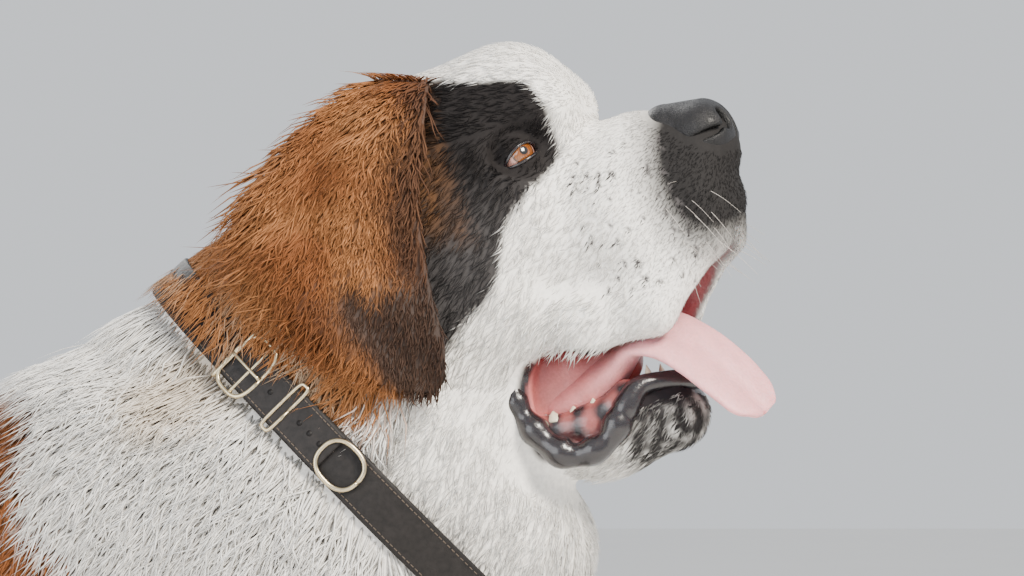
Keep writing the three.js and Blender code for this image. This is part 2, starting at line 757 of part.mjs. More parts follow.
// A hanging ear, laid on the side of the head and neck.
function ear(s) {
  const outward = fromHead(0, s, 0).sub(fromHead(0, 0, 0));
  const coatAt = (x, z) => reach(headAndTrunk, COAT, fromHead(x, 0, z), outward, 260) - EAR_SUNK;
  return skinned(EAR_ROWS.map(([x, z, half, thick]) => {
    const middle = coatAt(x, z);
    return Array.from({ length: EAR_SIDES }, (_, k) => {
      const a = (s * 2 * Math.PI * k) / EAR_SIDES;
      const across = half * Math.sin(a);
      const [px, pz] = [x + EAR_ACROSS[0] * across, z + EAR_ACROSS[1] * across];
      const under = Math.max(coatAt(px, pz), middle - EAR_STIFF);
      return fromHead(px, s * (under + thick * (1 + Math.cos(a))), pz);
    });
  }));
}

for (const [side, s] of Object.entries(SIDES)) {
  add(`ear_${side}`, cut(ear(s), headGrown, neckGrown, frontGrown), RED);
}

// Tail, laid on the floor in two lengths
const TAIL_CUT = [-520, -24, 48];
const tailAlong = [-0.95, -0.28, -0.03];
const tailRoot = pair(tail, {
  stations: stationsThrough([
    [-352, 0, 104, -0.8, 0, -0.6],
    [-420, -2, 60, -0.97, -0.05, -0.2],
    [...TAIL_CUT, ...tailAlong],
  ], 7, 80),
  sides: 16,
  domes: [3, 0],
  up: UP,
});
const tailTip = pair(tail, {
  stations: stationsThrough([
    [...point(...TAIL_CUT).addScaledVector(point(...tailAlong), GAP).toArray(), ...tailAlong],
    [-600, -50, 45, -0.88, -0.47, -0.04],
    [-715, -132, 34, -0.77, -0.64, -0.06],
  ], 8, 80),
  sides: 16,
  domes: [0, 4],
  up: UP,
});
add("tail_root", cut(tailRoot[0], rearGrown), RED);
add("tail_tip", tailTip[0], WHITE);

// The finished group stands with the middle of its box on the origin.
const box = new THREE.Box3().setFromObject(root);
root.position.set(-(box.min.x + box.max.x) / 2, -(box.min.y + box.max.y) / 2, -box.min.z);

export default root;
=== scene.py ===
# A life-size sitting Saint Bernard with a rough coat: skin, coat, head, mouth, eyes and collar,
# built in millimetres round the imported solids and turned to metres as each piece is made.
from math import cos, pi, radians, sin

import bpy
import numpy as np
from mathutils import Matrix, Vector


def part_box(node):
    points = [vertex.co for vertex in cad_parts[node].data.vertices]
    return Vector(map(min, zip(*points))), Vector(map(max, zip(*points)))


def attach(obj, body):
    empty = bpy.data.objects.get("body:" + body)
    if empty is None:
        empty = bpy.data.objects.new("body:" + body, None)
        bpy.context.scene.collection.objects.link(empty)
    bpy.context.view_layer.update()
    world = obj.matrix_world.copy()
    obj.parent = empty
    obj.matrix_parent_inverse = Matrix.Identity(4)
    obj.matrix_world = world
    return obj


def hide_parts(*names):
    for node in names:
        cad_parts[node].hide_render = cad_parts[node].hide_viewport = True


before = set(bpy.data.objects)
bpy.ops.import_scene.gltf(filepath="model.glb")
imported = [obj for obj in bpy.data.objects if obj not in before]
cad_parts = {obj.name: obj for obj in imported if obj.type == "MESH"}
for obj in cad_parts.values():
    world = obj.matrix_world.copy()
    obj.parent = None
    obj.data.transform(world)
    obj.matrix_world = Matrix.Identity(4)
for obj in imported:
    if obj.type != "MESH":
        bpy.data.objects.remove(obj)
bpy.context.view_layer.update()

# Driving sizes, in millimetres and degrees
HEAD_YAW = -16.0
HEAD_PITCH = 18.0
EYE_LEVEL = np.array([245.0, -30.0, 800.0])
EYE = (8.0, 48.0, -3.0)
EYE_RADIUS = 13.0
COLLAR_MIDDLE = np.array([122.0, 0.0, 582.0])
COLLAR_AXIS = np.array([0.714, 0.0, 0.7])
COLLAR_AXIS = COLLAR_AXIS / np.linalg.norm(COLLAR_AXIS)
COLLAR_WIDTH = 34.0
COLLAR_THICK = 5.0
PRESSED = 0.5
EAR_ROWS = [
    (-58, 76, 27, 9),
    (-78, 56, 44, 10),
    (-104, 22, 60, 11),
    (-119, -18, 69, 11),
    (-119, -58, 64, 11),
    (-107, -98, 50, 10),
    (-98, -127, 31, 8),
    (-94, -142, 15, 5),
]
EAR_ACROSS = np.array([0.92, 0, -0.39])
EAR_DOWN = np.array([-0.39, 0, -0.92])
EAR_STIFF = 16.0
EAR_SUNK = 3.0
HEAD_CELL = 2.6
BODY_CELL = 7.0
SKIN_FLOOR = 0.4
HAIR_FLOOR = 0.6

SIDES = (("right", -1), ("left", 1))
link = bpy.context.scene.collection.objects.link

rng = np.random.default_rng(7)


def turn_of(yaw, pitch):
    a = radians(yaw)
    b = radians(-pitch)
    about_z = np.array([[cos(a), -sin(a), 0], [sin(a), cos(a), 0], [0, 0, 1]])
    about_y = np.array([[cos(b), 0, sin(b)], [0, 1, 0], [-sin(b), 0, cos(b)]])
    return about_z @ about_y


HEAD_TURN = turn_of(HEAD_YAW, HEAD_PITCH)


def from_head(p):
    return EYE_LEVEL + np.asarray(p, float) @ HEAD_TURN.T


def to_head(p):
    return (p - EYE_LEVEL) @ HEAD_TURN


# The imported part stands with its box's middle on the origin, so the eye tells how far it was moved
eye_low, eye_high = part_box("eye_right")
eye_there = np.array((eye_low + eye_high) / 2) * 1000
SHIFT = eye_there - from_head((EYE[0], -EYE[1], EYE[2]))


def metres(points):
    return (np.asarray(points, float) + SHIFT) / 1000


# Distance forms


def elliptic(a, b, c, ra, rb, rc):
    k0 = np.sqrt((a / ra) ** 2 + (b / rb) ** 2 + (c / rc) ** 2)
    k1 = np.sqrt((a / (ra * ra)) ** 2 + (b / (rb * rb)) ** 2 + (c / (rc * rc)) ** 2)
    middle = -np.minimum(np.minimum(ra, rb), rc)
    return np.where(k1 < 1e-6, middle, k0 * (k0 - 1) / np.maximum(k1, 1e-9))


def smooth_min(a, b, k):
    h = np.maximum(k - np.abs(a - b), 0) / k
    return np.minimum(a, b) - h * h * k / 4


def smooth_max(a, b, k):
    return -smooth_min(-a, -b, k)


def chain(stations, blend=30, across=(0, 1, 0)):
    stations = np.array(stations, float)
    across = np.array(across, float)

    def form(p, coat):
        best = None
        for start, end in zip(stations[:-1], stations[1:]):
            along = end[:3] - start[:3]
            length = np.linalg.norm(along)
            along = along / length
            side = across - along * (across @ along)
            side = side / np.linalg.norm(side)
            normal = np.cross(along, side)
            q = p - start[:3]
            run = q @ along
            t = np.clip(run / length, 0, 1)
            w, h, depth = (start[k] + (end[k] - start[k]) * t for k in (3, 4, 5))
            w = w + coat * depth
            h = h + coat * depth
            d = elliptic(q @ side, q @ normal, run - t * length, w, h, np.minimum(w, h))
            best = d if best is None else smooth_min(best, d, blend)
        return best

    return form


def blob(centre, radii, depth=0.0, turn=0.0):
    c = cos(radians(turn))
    s = sin(radians(turn))

    def form(p, coat):
        dx = p[..., 0] - centre[0]
        dz = p[..., 2] - centre[2]
        grown = (radius + coat * depth for radius in radii)
        return elliptic(dx * c - dz * s, p[..., 1] - centre[1], dx * s + dz * c, *grown)

    return form


def joined(forms, k):
    def form(p, coat):
        d = forms[0](p, coat)
        for other in forms[1:]:
            d = smooth_min(d, other(p, coat), k)
        return d

    return form


def both_sides(make):
    return [make(-1), make(1)]


# Trunk, neck, limbs and tail

spine = chain([
    (150, 0, 545, 100, 112, 38),
    (105, 0, 505, 122, 160, 36),
    (0, 0, 478, 136, 176, 32),
    (-105, 0, 408, 134, 168, 30),
    (-195, 0, 315, 127, 148, 28),
    (-250, 0, 215, 123, 120, 26),
    (-270, 0, 120, 118, 96, 25),
    (-262, 0, 90, 108, 80, 25),
], 40)
neck_column = chain([
    (120, 0, 570, 100, 118, 38),
    (126, -4, 650, 86, 102, 34),
    (*from_head((-104, 0, -48)), 80, 90, 22),
], 30)
trunk = joined([
    spine,
    neck_column,
    blob((28, 0, 650), (56, 58, 48), 30),
    blob((190, 0, 455), (66, 88, 84), 40),
    blob((238, 0, 522), (42, 64, 34), 32),
    *both_sides(lambda s: blob((74, s * 86, 490), (74, 50, 128), 26, -28)),
], 45)


def fore_limb(s):
    return chain([
        (128, s * 88, 450, 48, 60, 18),
        (42, s * 114, 370, 43, 52, 14),
        (54, s * 106, 245, 35, 40, 10),
        (72, s * 100, 115, 34, 36, 7),
        (88, s * 99, 58, 37, 34, 6),
    ], 30)


def hind_limb(s):
    return chain([
        (-235, s * 84, 180, 64, 98, 26),
        (-150, s * 126, 224, 54, 90, 24),
        (-72, s * 154, 254, 44, 56, 16),
    ], 40)


def shank(s):
    return chain([
        (-74, s * 158, 240, 42, 50, 14),
        (-140, s * 158, 150, 34, 44, 12),
        (-212, s * 152, 64, 26, 34, 9),
    ], 25)


def hind_foot(s):
    return chain([
        (-214, s * 152, 46, 28, 36, 9),
        (-125, s * 162, 34, 29, 28, 8),
        (-55, s * 170, 30, 36, 27, 6),
    ], 25)


TOES = [
    (-31, 34, (25, 13.5, 20)),
    (-10.5, 45, (26, 13.5, 22)),
    (10.5, 45, (26, 13.5, 22)),
    (31, 34, (25, 13.5, 20)),
]


def paw(x, y, z):
    toes = [blob((x + ahead, y + across, z - 8), r, 4) for across, ahead, r in TOES]
    return joined([blob((x, y, z), (46, 42, 31), 5), *toes], 8)


FORE_PAW = (108, 100, 32)
HIND_PAW = (-22, 172, 30)
limbs = joined([
    *both_sides(fore_limb),
    *both_sides(hind_limb),
    *both_sides(shank),
    *both_sides(hind_foot),
    *both_sides(lambda s: paw(FORE_PAW[0], s * FORE_PAW[1], FORE_PAW[2])),
    *both_sides(lambda s: paw(HIND_PAW[0], s * HIND_PAW[1], HIND_PAW[2])),
], 14)
tail = chain([
    (-340, 0, 112, 34, 34, 18),
    (-395, 0, 70, 27, 27, 24),
    (-470, -8, 50, 21, 21, 27),
    (-575, -38, 45, 16, 16, 28),
    (-665, -90, 40, 11, 11, 26),
    (-725, -140, 34, 5, 5, 18),
], 20)

# The head, in its own frame: x along the muzzle, z up, the eyes at the origin's height

skull = joined([
    blob((-46, 0, 20), (78, 68, 59), 6),
    blob((6, 0, 28), (44, 52, 52), 4),
    *both_sides(lambda s: blob((30, s * 34, 26), (20, 18, 18), 4)),
    *both_sides(lambda s: blob((-30, s * 52, -30), (46, 22, 42), 5)),
    *both_sides(lambda s: blob((-56, s * 42, -84), (46, 34, 60), 8)),
    blob((-84, 0, -95), (56, 60, 84), 12),
], 26)
muzzle = joined([
    chain([(20, 0, -30, 42, 32, 3), (80, 0, -32, 38, 32, 3), (122, 0, -36, 32, 30, 2)], 20),
    *both_sides(lambda s: chain([
        (10, s * 26, -68, 26, 44, 4),
        (62, s * 24, -70, 26, 42, 3),
        (112, s * 20, -64, 22, 30, 3),
    ], 20)),
    *both_sides(lambda s: chain([
        (126, s * 9, -74, 12, 13, 3),
        (112, s * 22, -92, 12, 18, 3),
        (64, s * 37, -132, 12, 18, 3),
        (14, s * 42, -132, 12, 18, 3),
        (-34, s * 43, -114, 12, 17, 3),
    ], 16)),
], 18)
sockets = both_sides(lambda s: blob((EYE[0] + 10, s * (EYE[1] + 13), EYE[2] + 2), (24, 15, 15)))
LID = EYE_RADIUS + 2.2
lid_balls = both_sides(lambda s: blob((EYE[0], s * EYE[1], EYE[2]), (LID, LID, LID)))
jaw = chain([
    (-54, 0, -166, 42, 42, 4),
    (0, 0, -198, 38, 34, 4),
    (48, 0, -206, 29, 25, 4),
], 18)
# The soft wall behind the teeth, which closes the view from one cheek to the other
throat = chain([(-46, 0, -152, 36, 46, 0), (-14, 0, -156, 21, 38, 0), (24, 0, -150, 16, 26, 0)], 12)
# The open mouth: the hollow between the lips, its front cleft and the floor behind the lower teeth
mouth = joined([
    chain([
        (-22, 0, -132, 36, 12, 0),
        (30, 0, -146, 30, 24, 0),
        (88, 0, -150, 26, 44, 0),
        (150, 0, -160, 22, 62, 0),
    ], 10),
    blob((14, 0, -166), (56, 29, 34)),
    blob((-8, 0, -174), (37, 70, 41)),
], 8)
gums = joined(both_sides(lambda s: chain([
    (-34, s * 30, -194, 8, 12, 0),
    (-6, s * 29, -197, 8, 12, 0),
    (26, s * 25, -187, 8, 11, 0),
    (56, s * 15, -190, 7, 9, 0),
], 10)), 6)
nose_form = joined([
    chain([(106, 0, -14, 27, 18, 0), (130, 0, -22, 28, 22, 0)], 10),
    *both_sides(lambda s: blob((132, s * 17, -26), (19, 15, 18))),
    blob((136, 0, -32), (16, 22, 18)),
], 8)

GAZE = {s: np.array([0.64, s * 0.76, 0.1]) / np.linalg.norm([0.64, 0.76, 0.1]) for s in (-1, 1)}


def eye_centre(s):
    return np.array([EYE[0], s * EYE[1], EYE[2]])


def eye_axes(s):
    gaze = GAZE[s]
    ahead = np.array([0.76, -s * 0.64, 0.12])
    ahead = ahead - gaze * (ahead @ gaze)
    ahead = ahead / np.linalg.norm(ahead)
    up = np.cross(gaze, ahead)
    return gaze, ahead, up * np.sign(up[2])


def eye_opening(p, s):
    gaze, ahead, up = eye_axes(s)
    q = p - eye_centre(s)
    a = q @ ahead
    b = q @ up - a * 0.16 + 1.0 + 0.012 * a * a * 0.6
    slit = elliptic(a, b, 0 * a, 13.5, 5.6, 99)
    return np.where(q @ gaze > 0, slit, 60.0)


def head_bare(p, coat):
    d = smooth_min(skull(p, coat), muzzle(p, coat), 24)
    for socket in sockets:
        d = smooth_max(d, -socket(p, 0), 12)
    return d


def head_local(p, coat):
    d = head_bare(p, coat)
    d = smooth_min(d, jaw(p, coat), 14)
    d = smooth_max(d, -mouth(p, 0), 5)
    d = smooth_min(d, gums(p, 0), 4)
    d = smooth_min(d, throat(p, 0), 5)
    for s, ball in zip((-1, 1), lid_balls):
        d = smooth_min(d, ball(p, 0), 6)
        d = smooth_max(d, -eye_opening(p, s), 1.5)
    return d


def whole_body(p, coat):
    d = smooth_min(trunk(p, coat), limbs(p, coat), 30)
    return smooth_min(d, tail(p, coat), 20)


def head_part(p, coat):
    return smooth_min(head_local(to_head(p), coat), smooth_min(neck_column(p, coat), trunk(p, coat), 30), 30)


def collar_side(p):
    return (p - COLLAR_MIDDLE) @ COLLAR_AXIS


# Surface nets: a mesh of a field's zero, worked out only in the blocks that the surface crosses


def surface_nets(field, low, high, cell, block=8):
    low = np.asarray(low, float)
    counts = np.ceil((np.asarray(high) - low) / (cell * block)).astype(int)
    grid = np.stack(np.meshgrid(*[np.arange(n) for n in counts], indexing="ij"), -1).reshape(-1, 3)
    centres = low + (grid + 0.5) * block * cell
    near = np.abs(field(centres)) < block * cell * 1.5
    blocks = grid[near]
    side = block + 2
    offset = np.stack(np.meshgrid(*[np.arange(-1, side - 1)] * 3, indexing="ij"), -1)
    total = counts * block + 4
    vertices = []
    keys = []
    crossings = []
    for chunk in np.array_split(blocks, max(1, len(blocks) // 200)):
        index = chunk[:, None, None, None, :] * block + offset[None]
        d = field((low + index * cell).reshape(-1, 3)).reshape(index.shape[:-1])
        inside = d < 0
        corner = [(i, j, k) for i in (0, 1) for j in (0, 1) for k in (0, 1)]
        n = side - 1

        def at(array, c):
            return array[:, c[0]:c[0] + n, c[1]:c[1] + n, c[2]:c[2] + n]

        count = sum(at(inside, c).astype(int) for c in corner)
        mixed = (count > 0) & (count < 8)
        place_sum = np.zeros(mixed.shape + (3,))
        crossed = np.zeros(mixed.shape)
        for a in range(8):
            for b in range(a + 1, 8):
                ca, cb = np.array(corner[a]), np.array(corner[b])
                if np.abs(ca - cb).sum() != 1:
                    continue
                da, db = at(d, corner[a]), at(d, corner[b])
                cross = (da < 0) != (db < 0)
                t = np.where(cross, da / np.where(cross, da - db, 1), 0)
                place = ca + (cb - ca) * t[..., None]
                place_sum += np.where(cross[..., None], place, 0)
                crossed += cross
        where = np.nonzero(mixed)
        cube = index[..., 0:n, 0:n, 0:n, :][where]
        local = place_sum[where] / crossed[where][:, None]
        vertices.append(low + (cube + local) * cell)
        keys.append(cube)
        for axis in range(3):
            here = at(inside, (0, 0, 0))
            ahead = at(inside, tuple(int(k == axis) for k in range(3)))
            spot = np.nonzero((here != ahead)[:, 1:, 1:, 1:])
            base = index[:, 1:n, 1:n, 1:n, :][spot]
            crossings.append((axis, base, here[:, 1:, 1:, 1:][spot]))
    vertices = np.concatenate(vertices)

    def code_of(cells):
        return (cells[:, 0] * total[1] + cells[:, 1]) * total[2] + cells[:, 2]

    code, first = np.unique(code_of(np.concatenate(keys) + 1), return_index=True)
    vertices = vertices[first]
    faces = []
    for axis, base, flip in crossings:
        u, v = [(1, 2), (2, 0), (0, 1)][axis]
        ring = []
        for du, dv in ((0, 0), (-1, 0), (-1, -1), (0, -1)):
            cells = base + 1
            cells[:, u] += du
            cells[:, v] += dv
            ring.append(code_of(cells))
        ring = np.stack(ring, 1)
        found = np.minimum(np.searchsorted(code, ring), len(code) - 1)
        good = (code[found] == ring).all(1)
        quad = found[good]
        turned = ~flip[good]
        quad[turned] = quad[turned][:, ::-1]
        faces.append(quad)
    faces = np.unique(np.concatenate(faces), axis=0)
    return vertices, faces


def gradient(field, p, e=1.5):
    slope = [field(p + np.eye(3)[k] * e) - field(p - np.eye(3)[k] * e) for k in range(3)]
    slope = np.stack(slope, 1)
    return slope / (np.linalg.norm(slope, axis=1, keepdims=True) + 1e-9)


# Meshes and materials


def add(name, points, faces, colours, material, slot, uv=None):
    # A piece with a colour at each point, riding on the one body
    mesh = bpy.data.meshes.new(name)
    faces = np.asarray(faces, np.int32)
    sides = faces.shape[1]
    mesh.vertices.add(len(points))
    mesh.vertices.foreach_set("co", metres(points).astype(np.float32).ravel())
    mesh.loops.add(faces.size)
    mesh.loops.foreach_set("vertex_index", faces.ravel())
    mesh.polygons.add(len(faces))
    mesh.polygons.foreach_set("loop_start", np.arange(len(faces), dtype=np.int32) * sides)
    mesh.polygons.foreach_set("loop_total", np.full(len(faces), sides, np.int32))
    mesh.polygons.foreach_set("use_smooth", np.ones(len(faces), bool))
    layer = mesh.color_attributes.new("Col", "FLOAT_COLOR", "POINT")
    rgba = np.ones((len(points), 4), np.float32)
    rgba[:, :3] = colours
    layer.data.foreach_set("color", rgba.ravel())
    if uv is not None:
        layer = mesh.uv_layers.new(name="OFBake")
        layer.data.foreach_set("uv", uv[faces.ravel()].astype(np.float32).ravel())
    mesh.update()
    mesh.validate()
    piece = bpy.data.objects.new(name, mesh)
    link(piece)
    piece.data.materials.append(material)
    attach(piece, "root")
    return piece


def surface(name, roughness=0.6, metallic=0.0, colour=None, bump=0.0, bump_scale=400.0, coat=0.0,
            subsurface=0.0, vary=0.1, shine=0.5):
    material = bpy.data.materials.new(name)
    material.use_nodes = True
    nodes = material.node_tree.nodes
    links = material.node_tree.links
    shader = nodes["Principled BSDF"]
    for label, value in (
        ("Roughness", roughness),
        ("Metallic", metallic),
        ("Coat Weight", coat),
        ("Coat Roughness", 0.12),
        ("Specular IOR Level", shine),
        ("Subsurface Weight", subsurface),
        ("Subsurface Scale", 0.004),
    ):
        shader.inputs[label].default_value = value
    place = nodes.new("ShaderNodeTexCoord")
    noise = nodes.new("ShaderNodeTexNoise")
    noise.inputs["Scale"].default_value = bump_scale
    noise.inputs["Detail"].default_value = 5.0
    links.new(place.outputs["Object"], noise.inputs["Vector"])
    mixer = nodes.new("ShaderNodeMix")
    mixer.data_type = "RGBA"
    mixer.blend_type = "MULTIPLY"
    mixer.inputs["Factor"].default_value = 1.0
    shade = nodes.new("ShaderNodeMapRange")
    for label, value in (("From Min", 0.3), ("From Max", 0.7), ("To Min", 1 - vary), ("To Max", 1 + vary)):
        shade.inputs[label].default_value = value
    links.new(noise.outputs["Fac"], shade.inputs["Value"])
    links.new(shade.outputs["Result"], mixer.inputs[7])
    if colour is None:
        attribute = nodes.new("ShaderNodeAttribute")
        attribute.attribute_name = "Col"
        links.new(attribute.outputs["Color"], mixer.inputs[6])
    else:
        mixer.inputs[6].default_value = (*colour, 1.0)
    links.new(mixer.outputs[2], shader.inputs["Base Color"])
    if bump:
        relief = nodes.new("ShaderNodeBump")
        relief.inputs["Strength"].default_value = bump
        relief.inputs["Distance"].default_value = 0.001
        links.new(noise.outputs["Fac"], relief.inputs["Height"])
        links.new(relief.outputs["Normal"], shader.inputs["Normal"])
    return material


SKIN = surface("skin", roughness=0.8, bump=0.4, bump_scale=300, shine=0.2)
WET = surface("wet_flesh", roughness=0.25, bump=0.35, bump_scale=500, coat=0.5, subsurface=0.15)
COAT = surface("coat", roughness=0.7, bump_scale=250, vary=0.14, shine=0.16)
EAR_SKIN = surface("ear_skin", roughness=0.8, bump=0.4, bump_scale=300)

# Colours, linear
WHITE = np.array([0.93, 0.90, 0.85])
CREAM = np.array([0.62, 0.50, 0.36])
RED = np.array([0.27, 0.095, 0.032])
RUST = np.array([0.36, 0.15, 0.055])
TAN = np.array([0.105, 0.05, 0.022])
BLACK = np.array([0.012, 0.010, 0.010])
GREY = np.array([0.05, 0.046, 0.046])
FLESH = np.array([0.55, 0.16, 0.15])
MAROON = np.array([0.16, 0.02, 0.025])
LIP = np.array([0.014, 0.011, 0.013])
EYE_WHITE = np.array([0.42, 0.22, 0.18])
IRIS = np.array([0.27, 0.085, 0.018])
PUPIL = np.array([0.003, 0.003, 0.003])
NOSE = np.array([0.007, 0.0065, 0.0075])
TONGUE = np.array([0.82, 0.38, 0.40])
IVORY = np.array([0.74, 0.66, 0.50])
CLAW = np.array([0.035, 0.028, 0.024])
WHISKER = np.array([0.5, 0.46, 0.42])
WORN = np.array([0.011, 0.009, 0.0085])
BRASS = np.array([0.62, 0.52, 0.34])
THREAD = np.array([0.10, 0.075, 0.055])
# Painted shade for the inside of each hole in the collar's end
HOLE_SHADE = np.array([0.004, 0.003, 0.003])

WAVES = np.random.default_rng(3).normal(size=(6, 3))
WAVES = WAVES / np.linalg.norm(WAVES, axis=1, keepdims=True)


def wobble(p, size, turn=0.0):
    q = (p / size) @ WAVES.T
    return np.sin(q * 2.0 + turn + np.arange(6) * 1.7).sum(1) / 2.6


def step(value, width):
    return np.clip(0.5 - value / (2 * width), 0, 1)[:, None]


def blend(base, over, amount):
    return base * (1 - amount) + over * amount


def head_marks(p):
    h = to_head(p)
    x, y, z = h[:, 0], np.abs(h[:, 1]), h[:, 2]
    wide = wobble(p, 22) * 4
    fine = wobble(p, 5, 1.0) * 2
    edge = np.interp(z, [-140, -129, -111, -71, -46, -19, -11, 23, 44, 66, 90],
                     [-84, -70, -56, -20, -4, 27, 40, 39, 26, -22, -60])
    blaze = np.interp(x, [-110, -60, 0, 30, 60], [20, 46, 42, 22, 13])
    dark = step(np.maximum(x - edge + wide + fine, (blaze - y + wide * 0.6) * 1.2), 3)
    tone = blend(BLACK, GREY * 0.9, step(z + 30 + wide, 30))
    brown = step(np.maximum(x + 38 + wide, -(z + 44) + wide), 12)
    brindle = np.clip(0.75 + 0.5 * wobble(p, 3.5), 0.3, 1)[:, None]
    tone = blend(tone, TAN, brown * brindle)
    colour = blend(WHITE, tone, dark)
    reach = np.hypot((x - 132) * 0.9, (z + 44) * 0.55)
    colour = blend(colour, GREY * 0.32, step(reach - 39 + wide * 0.6, 13))
    spots = (wobble(p, 2.6, 2.0) > 1.05) & (x > 34) & (x < 112) & (z < -18) & (z > -128)
    colour[spots] = GREY * 1.3
    chin = step(np.maximum(18 - x + wide, z + 170 + fine), 8)
    colour = blend(colour, GREY * 0.6, chin * np.clip(0.9 + 0.3 * wobble(p, 4), 0, 1)[:, None])
    rim = step(np.hypot(np.hypot(x - EYE[0], y - EYE[1] - 6), z - EYE[2]) - 19 + fine, 3)
    colour = blend(colour, BLACK, rim)
    return colour


def body_marks(p, normal):
    x, y, z = p.T
    wide = wobble(p, 45) * 14
    fine = wobble(p, 12, 2.0) * 5
    edge = np.interp(z, [0, 60, 150, 300, 420, 506, 560, 634, 700],
                     [-999, -250, -100, -75, -40, -28, -90, -108, -60])
    belly = 60 * np.clip(-normal[:, 2] - 0.25, 0, 1) * 6
    leg = np.where((np.abs(y) > 120) & (z < 165), 250 - (z - 90) * 3.4, 0)
    mantle = step(x - edge + wide + fine + belly + np.maximum(leg, 0), 9)
    red = blend(RED, BLACK * 2, np.clip(0.45 * wobble(p, 60, 3) - 0.05, 0, 0.75)[:, None])
    colour = blend(WHITE, red, mantle)
    colour = np.where((x < -330)[:, None], blend(red, WHITE, step((x + 600) + wide * 0.6, 14)), colour)
    tan = step(np.hypot((x - 14) / 1.2, z - 640) - 26 + fine, 10) * (np.abs(y) > 25)[:, None] * 0.7
    return blend(colour, CREAM, tan)


def neck_marks(p):
    x, z = p[:, 0], p[:, 2]
    wide = wobble(p, 30) * 8
    fine = wobble(p, 9, 2.0) * 4
    line = np.where(z > 634, 128 + (z - 634) * 0.98, 128 - (634 - z) * 0.2)
    rust = step(x - line + wide + fine, 9)
    shade = blend(RUST, CREAM * 0.7, np.clip(0.5 * wobble(p, 14, 5), 0, 0.7)[:, None])
    return blend(WHITE, shade, rust)


def marks(p, normal):
    h = to_head(p)
    colour = blend(neck_marks(p), body_marks(p, normal), step(collar_side(p) - 4, 3))
    on_head = step(-(h[:, 0] + 88) + np.maximum(-(h[:, 2] + 120), 0) * 0.9, 10)
    return blend(colour, head_marks(p), on_head)


# Skin

SKIN_SHARE = 0.35


def head_field(p):
    return smooth_max(head_part(p, SKIN_SHARE), -(collar_side(p) + 12), 1)


def body_field(p):
    d = np.maximum(whole_body(p, SKIN_SHARE), collar_side(p) - 4)
    return np.maximum(d, -p[:, 2])


cell = HEAD_CELL * 1
head_points, head_faces = surface_nets(head_field, (20, -190, 440), (430, 190, 900), cell)
body_points, body_faces = surface_nets(body_field, (-745, -240, -20), (310, 240, 720), BODY_CELL)
body_points[:, 2] = np.maximum(body_points[:, 2], SKIN_FLOOR)


def skin_colours(points, field):
    colour = marks(points, gradient(field, points))
    h = to_head(points)
    hollow = mouth(h, 0)
    inner = step(hollow - 1.5, 1.0) * (h[:, 0] < 140)[:, None]
    pink = step(h[:, 2] + 150 + wobble(points, 8) * 4, 10) * step(h[:, 0] - 40, 12)
    flesh = blend(MAROON, FLESH, pink)
    gum = gums(h, 0)
    mottle = np.clip(0.55 + 0.6 * wobble(points, 5, 1.0), 0, 1)[:, None]
    flesh = np.where((gum < 2.0)[:, None], blend(FLESH * 0.55, LIP * 1.5, mottle), flesh)
    hollow = np.minimum(hollow, np.minimum(gum, throat(h, 0) + 0.5))
    lower = (h[:, 2] < -146) | (h[:, 0] < -26)
    near = (h[:, 2] < -70) & (h[:, 0] > -60)
    rim = step(hollow - np.where(lower, 9, 3.5), 2.0) * near[:, None]
    colour = blend(colour, np.where(lower[:, None], LIP, GREY), rim)
    return blend(colour, flesh, inner)


skin_points = np.concatenate([head_points, body_points])
skin_faces = np.concatenate([head_faces, body_faces + len(head_points)])
skin_tones = np.concatenate([
    skin_colours(head_points, head_field),
    marks(body_points, gradient(body_field, body_points)),
])
skin = add("skin", skin_points, skin_faces, skin_tones, SKIN, "coat_white")
skin.data.materials.append(WET)
head_h = to_head(head_points)
wet_vertex = np.concatenate([
    (mouth(head_h, 0) < 9) & (head_h[:, 2] < -72) & (head_h[:, 0] > -60),
    np.zeros(len(body_points), bool),
])
skin.data.polygons.foreach_set("material_index", wet_vertex[skin_faces].all(1).astype(np.int32))
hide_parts("head", "neck", "torso_front", "torso_rear", "lower_jaw", "tail_root", "tail_tip")
for side in ("right", "left"):
    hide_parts(*(f"{part}_{side}" for part in ("foreleg", "forepaw", "thigh", "hindleg", "hindpaw")))

# Coat: closed three-sided tufts set on the skin

LONG_RINGS = (0.0, 0.3, 0.65)
SHORT_RINGS = (0.0, 0.5)
MOST_FACES = 190_000


def unit(v):
    return v / (np.linalg.norm(v, axis=1, keepdims=True) + 1e-9)


def tuft_mesh(root, normal, run, length, width, lift, wave, rings):
    n = len(root)
    side = np.cross(normal, run)
    bend = rng.normal(0, 0.16, n)
    phase = rng.uniform(0, 2 * pi, n)

    def line(t):
        height = lift * np.sin(np.minimum(t * 1.9, pi * 0.6)) - 1.2 * (1 - t)
        sway = bend * length * t * t + wave * length * 0.1 * np.sin(t * 7 + phase) * t
        return root + run * (length * t)[:, None] + normal * height[:, None] + side * sway[:, None]

    points = []
    shade = []
    for t in rings:
        at = line(np.full(n, t))
        half = (width * 0.5 * (1 - t) ** 0.55)[:, None]
        points += [at + side * half, at - side * half, at + normal * half * 0.55]
        # Painted shade: each ring's colour is darker towards the tuft's root, where the coat shades it, and
        # painted light makes the tip a little lighter
        shade += [0.74 + 0.3 * t] * 3
    points.append(line(np.ones(n)))
    shade.append(1.05)
    count = len(points)
    faces = [(0, 1, 2)]
    for k in range(len(rings) - 1):
        a = 3 * k
        for i, j in ((0, 1), (1, 2), (2, 0)):
            faces += [(a + i, a + 3 + i, a + j), (a + j, a + 3 + i, a + 3 + j)]
    a = 3 * (len(rings) - 1)
    tip = count - 1
    faces += [(a, tip, a + 1), (a + 1, tip, a + 2), (a + 2, tip, a)]
    points = np.stack(points, 1)
    points[..., 2] = np.maximum(points[..., 2], HAIR_FLOOR)
    faces = np.array(faces)[None] + (np.arange(n) * count)[:, None, None]
    return points.reshape(-1, 3), faces.reshape(-1, 3), np.array(shade), count


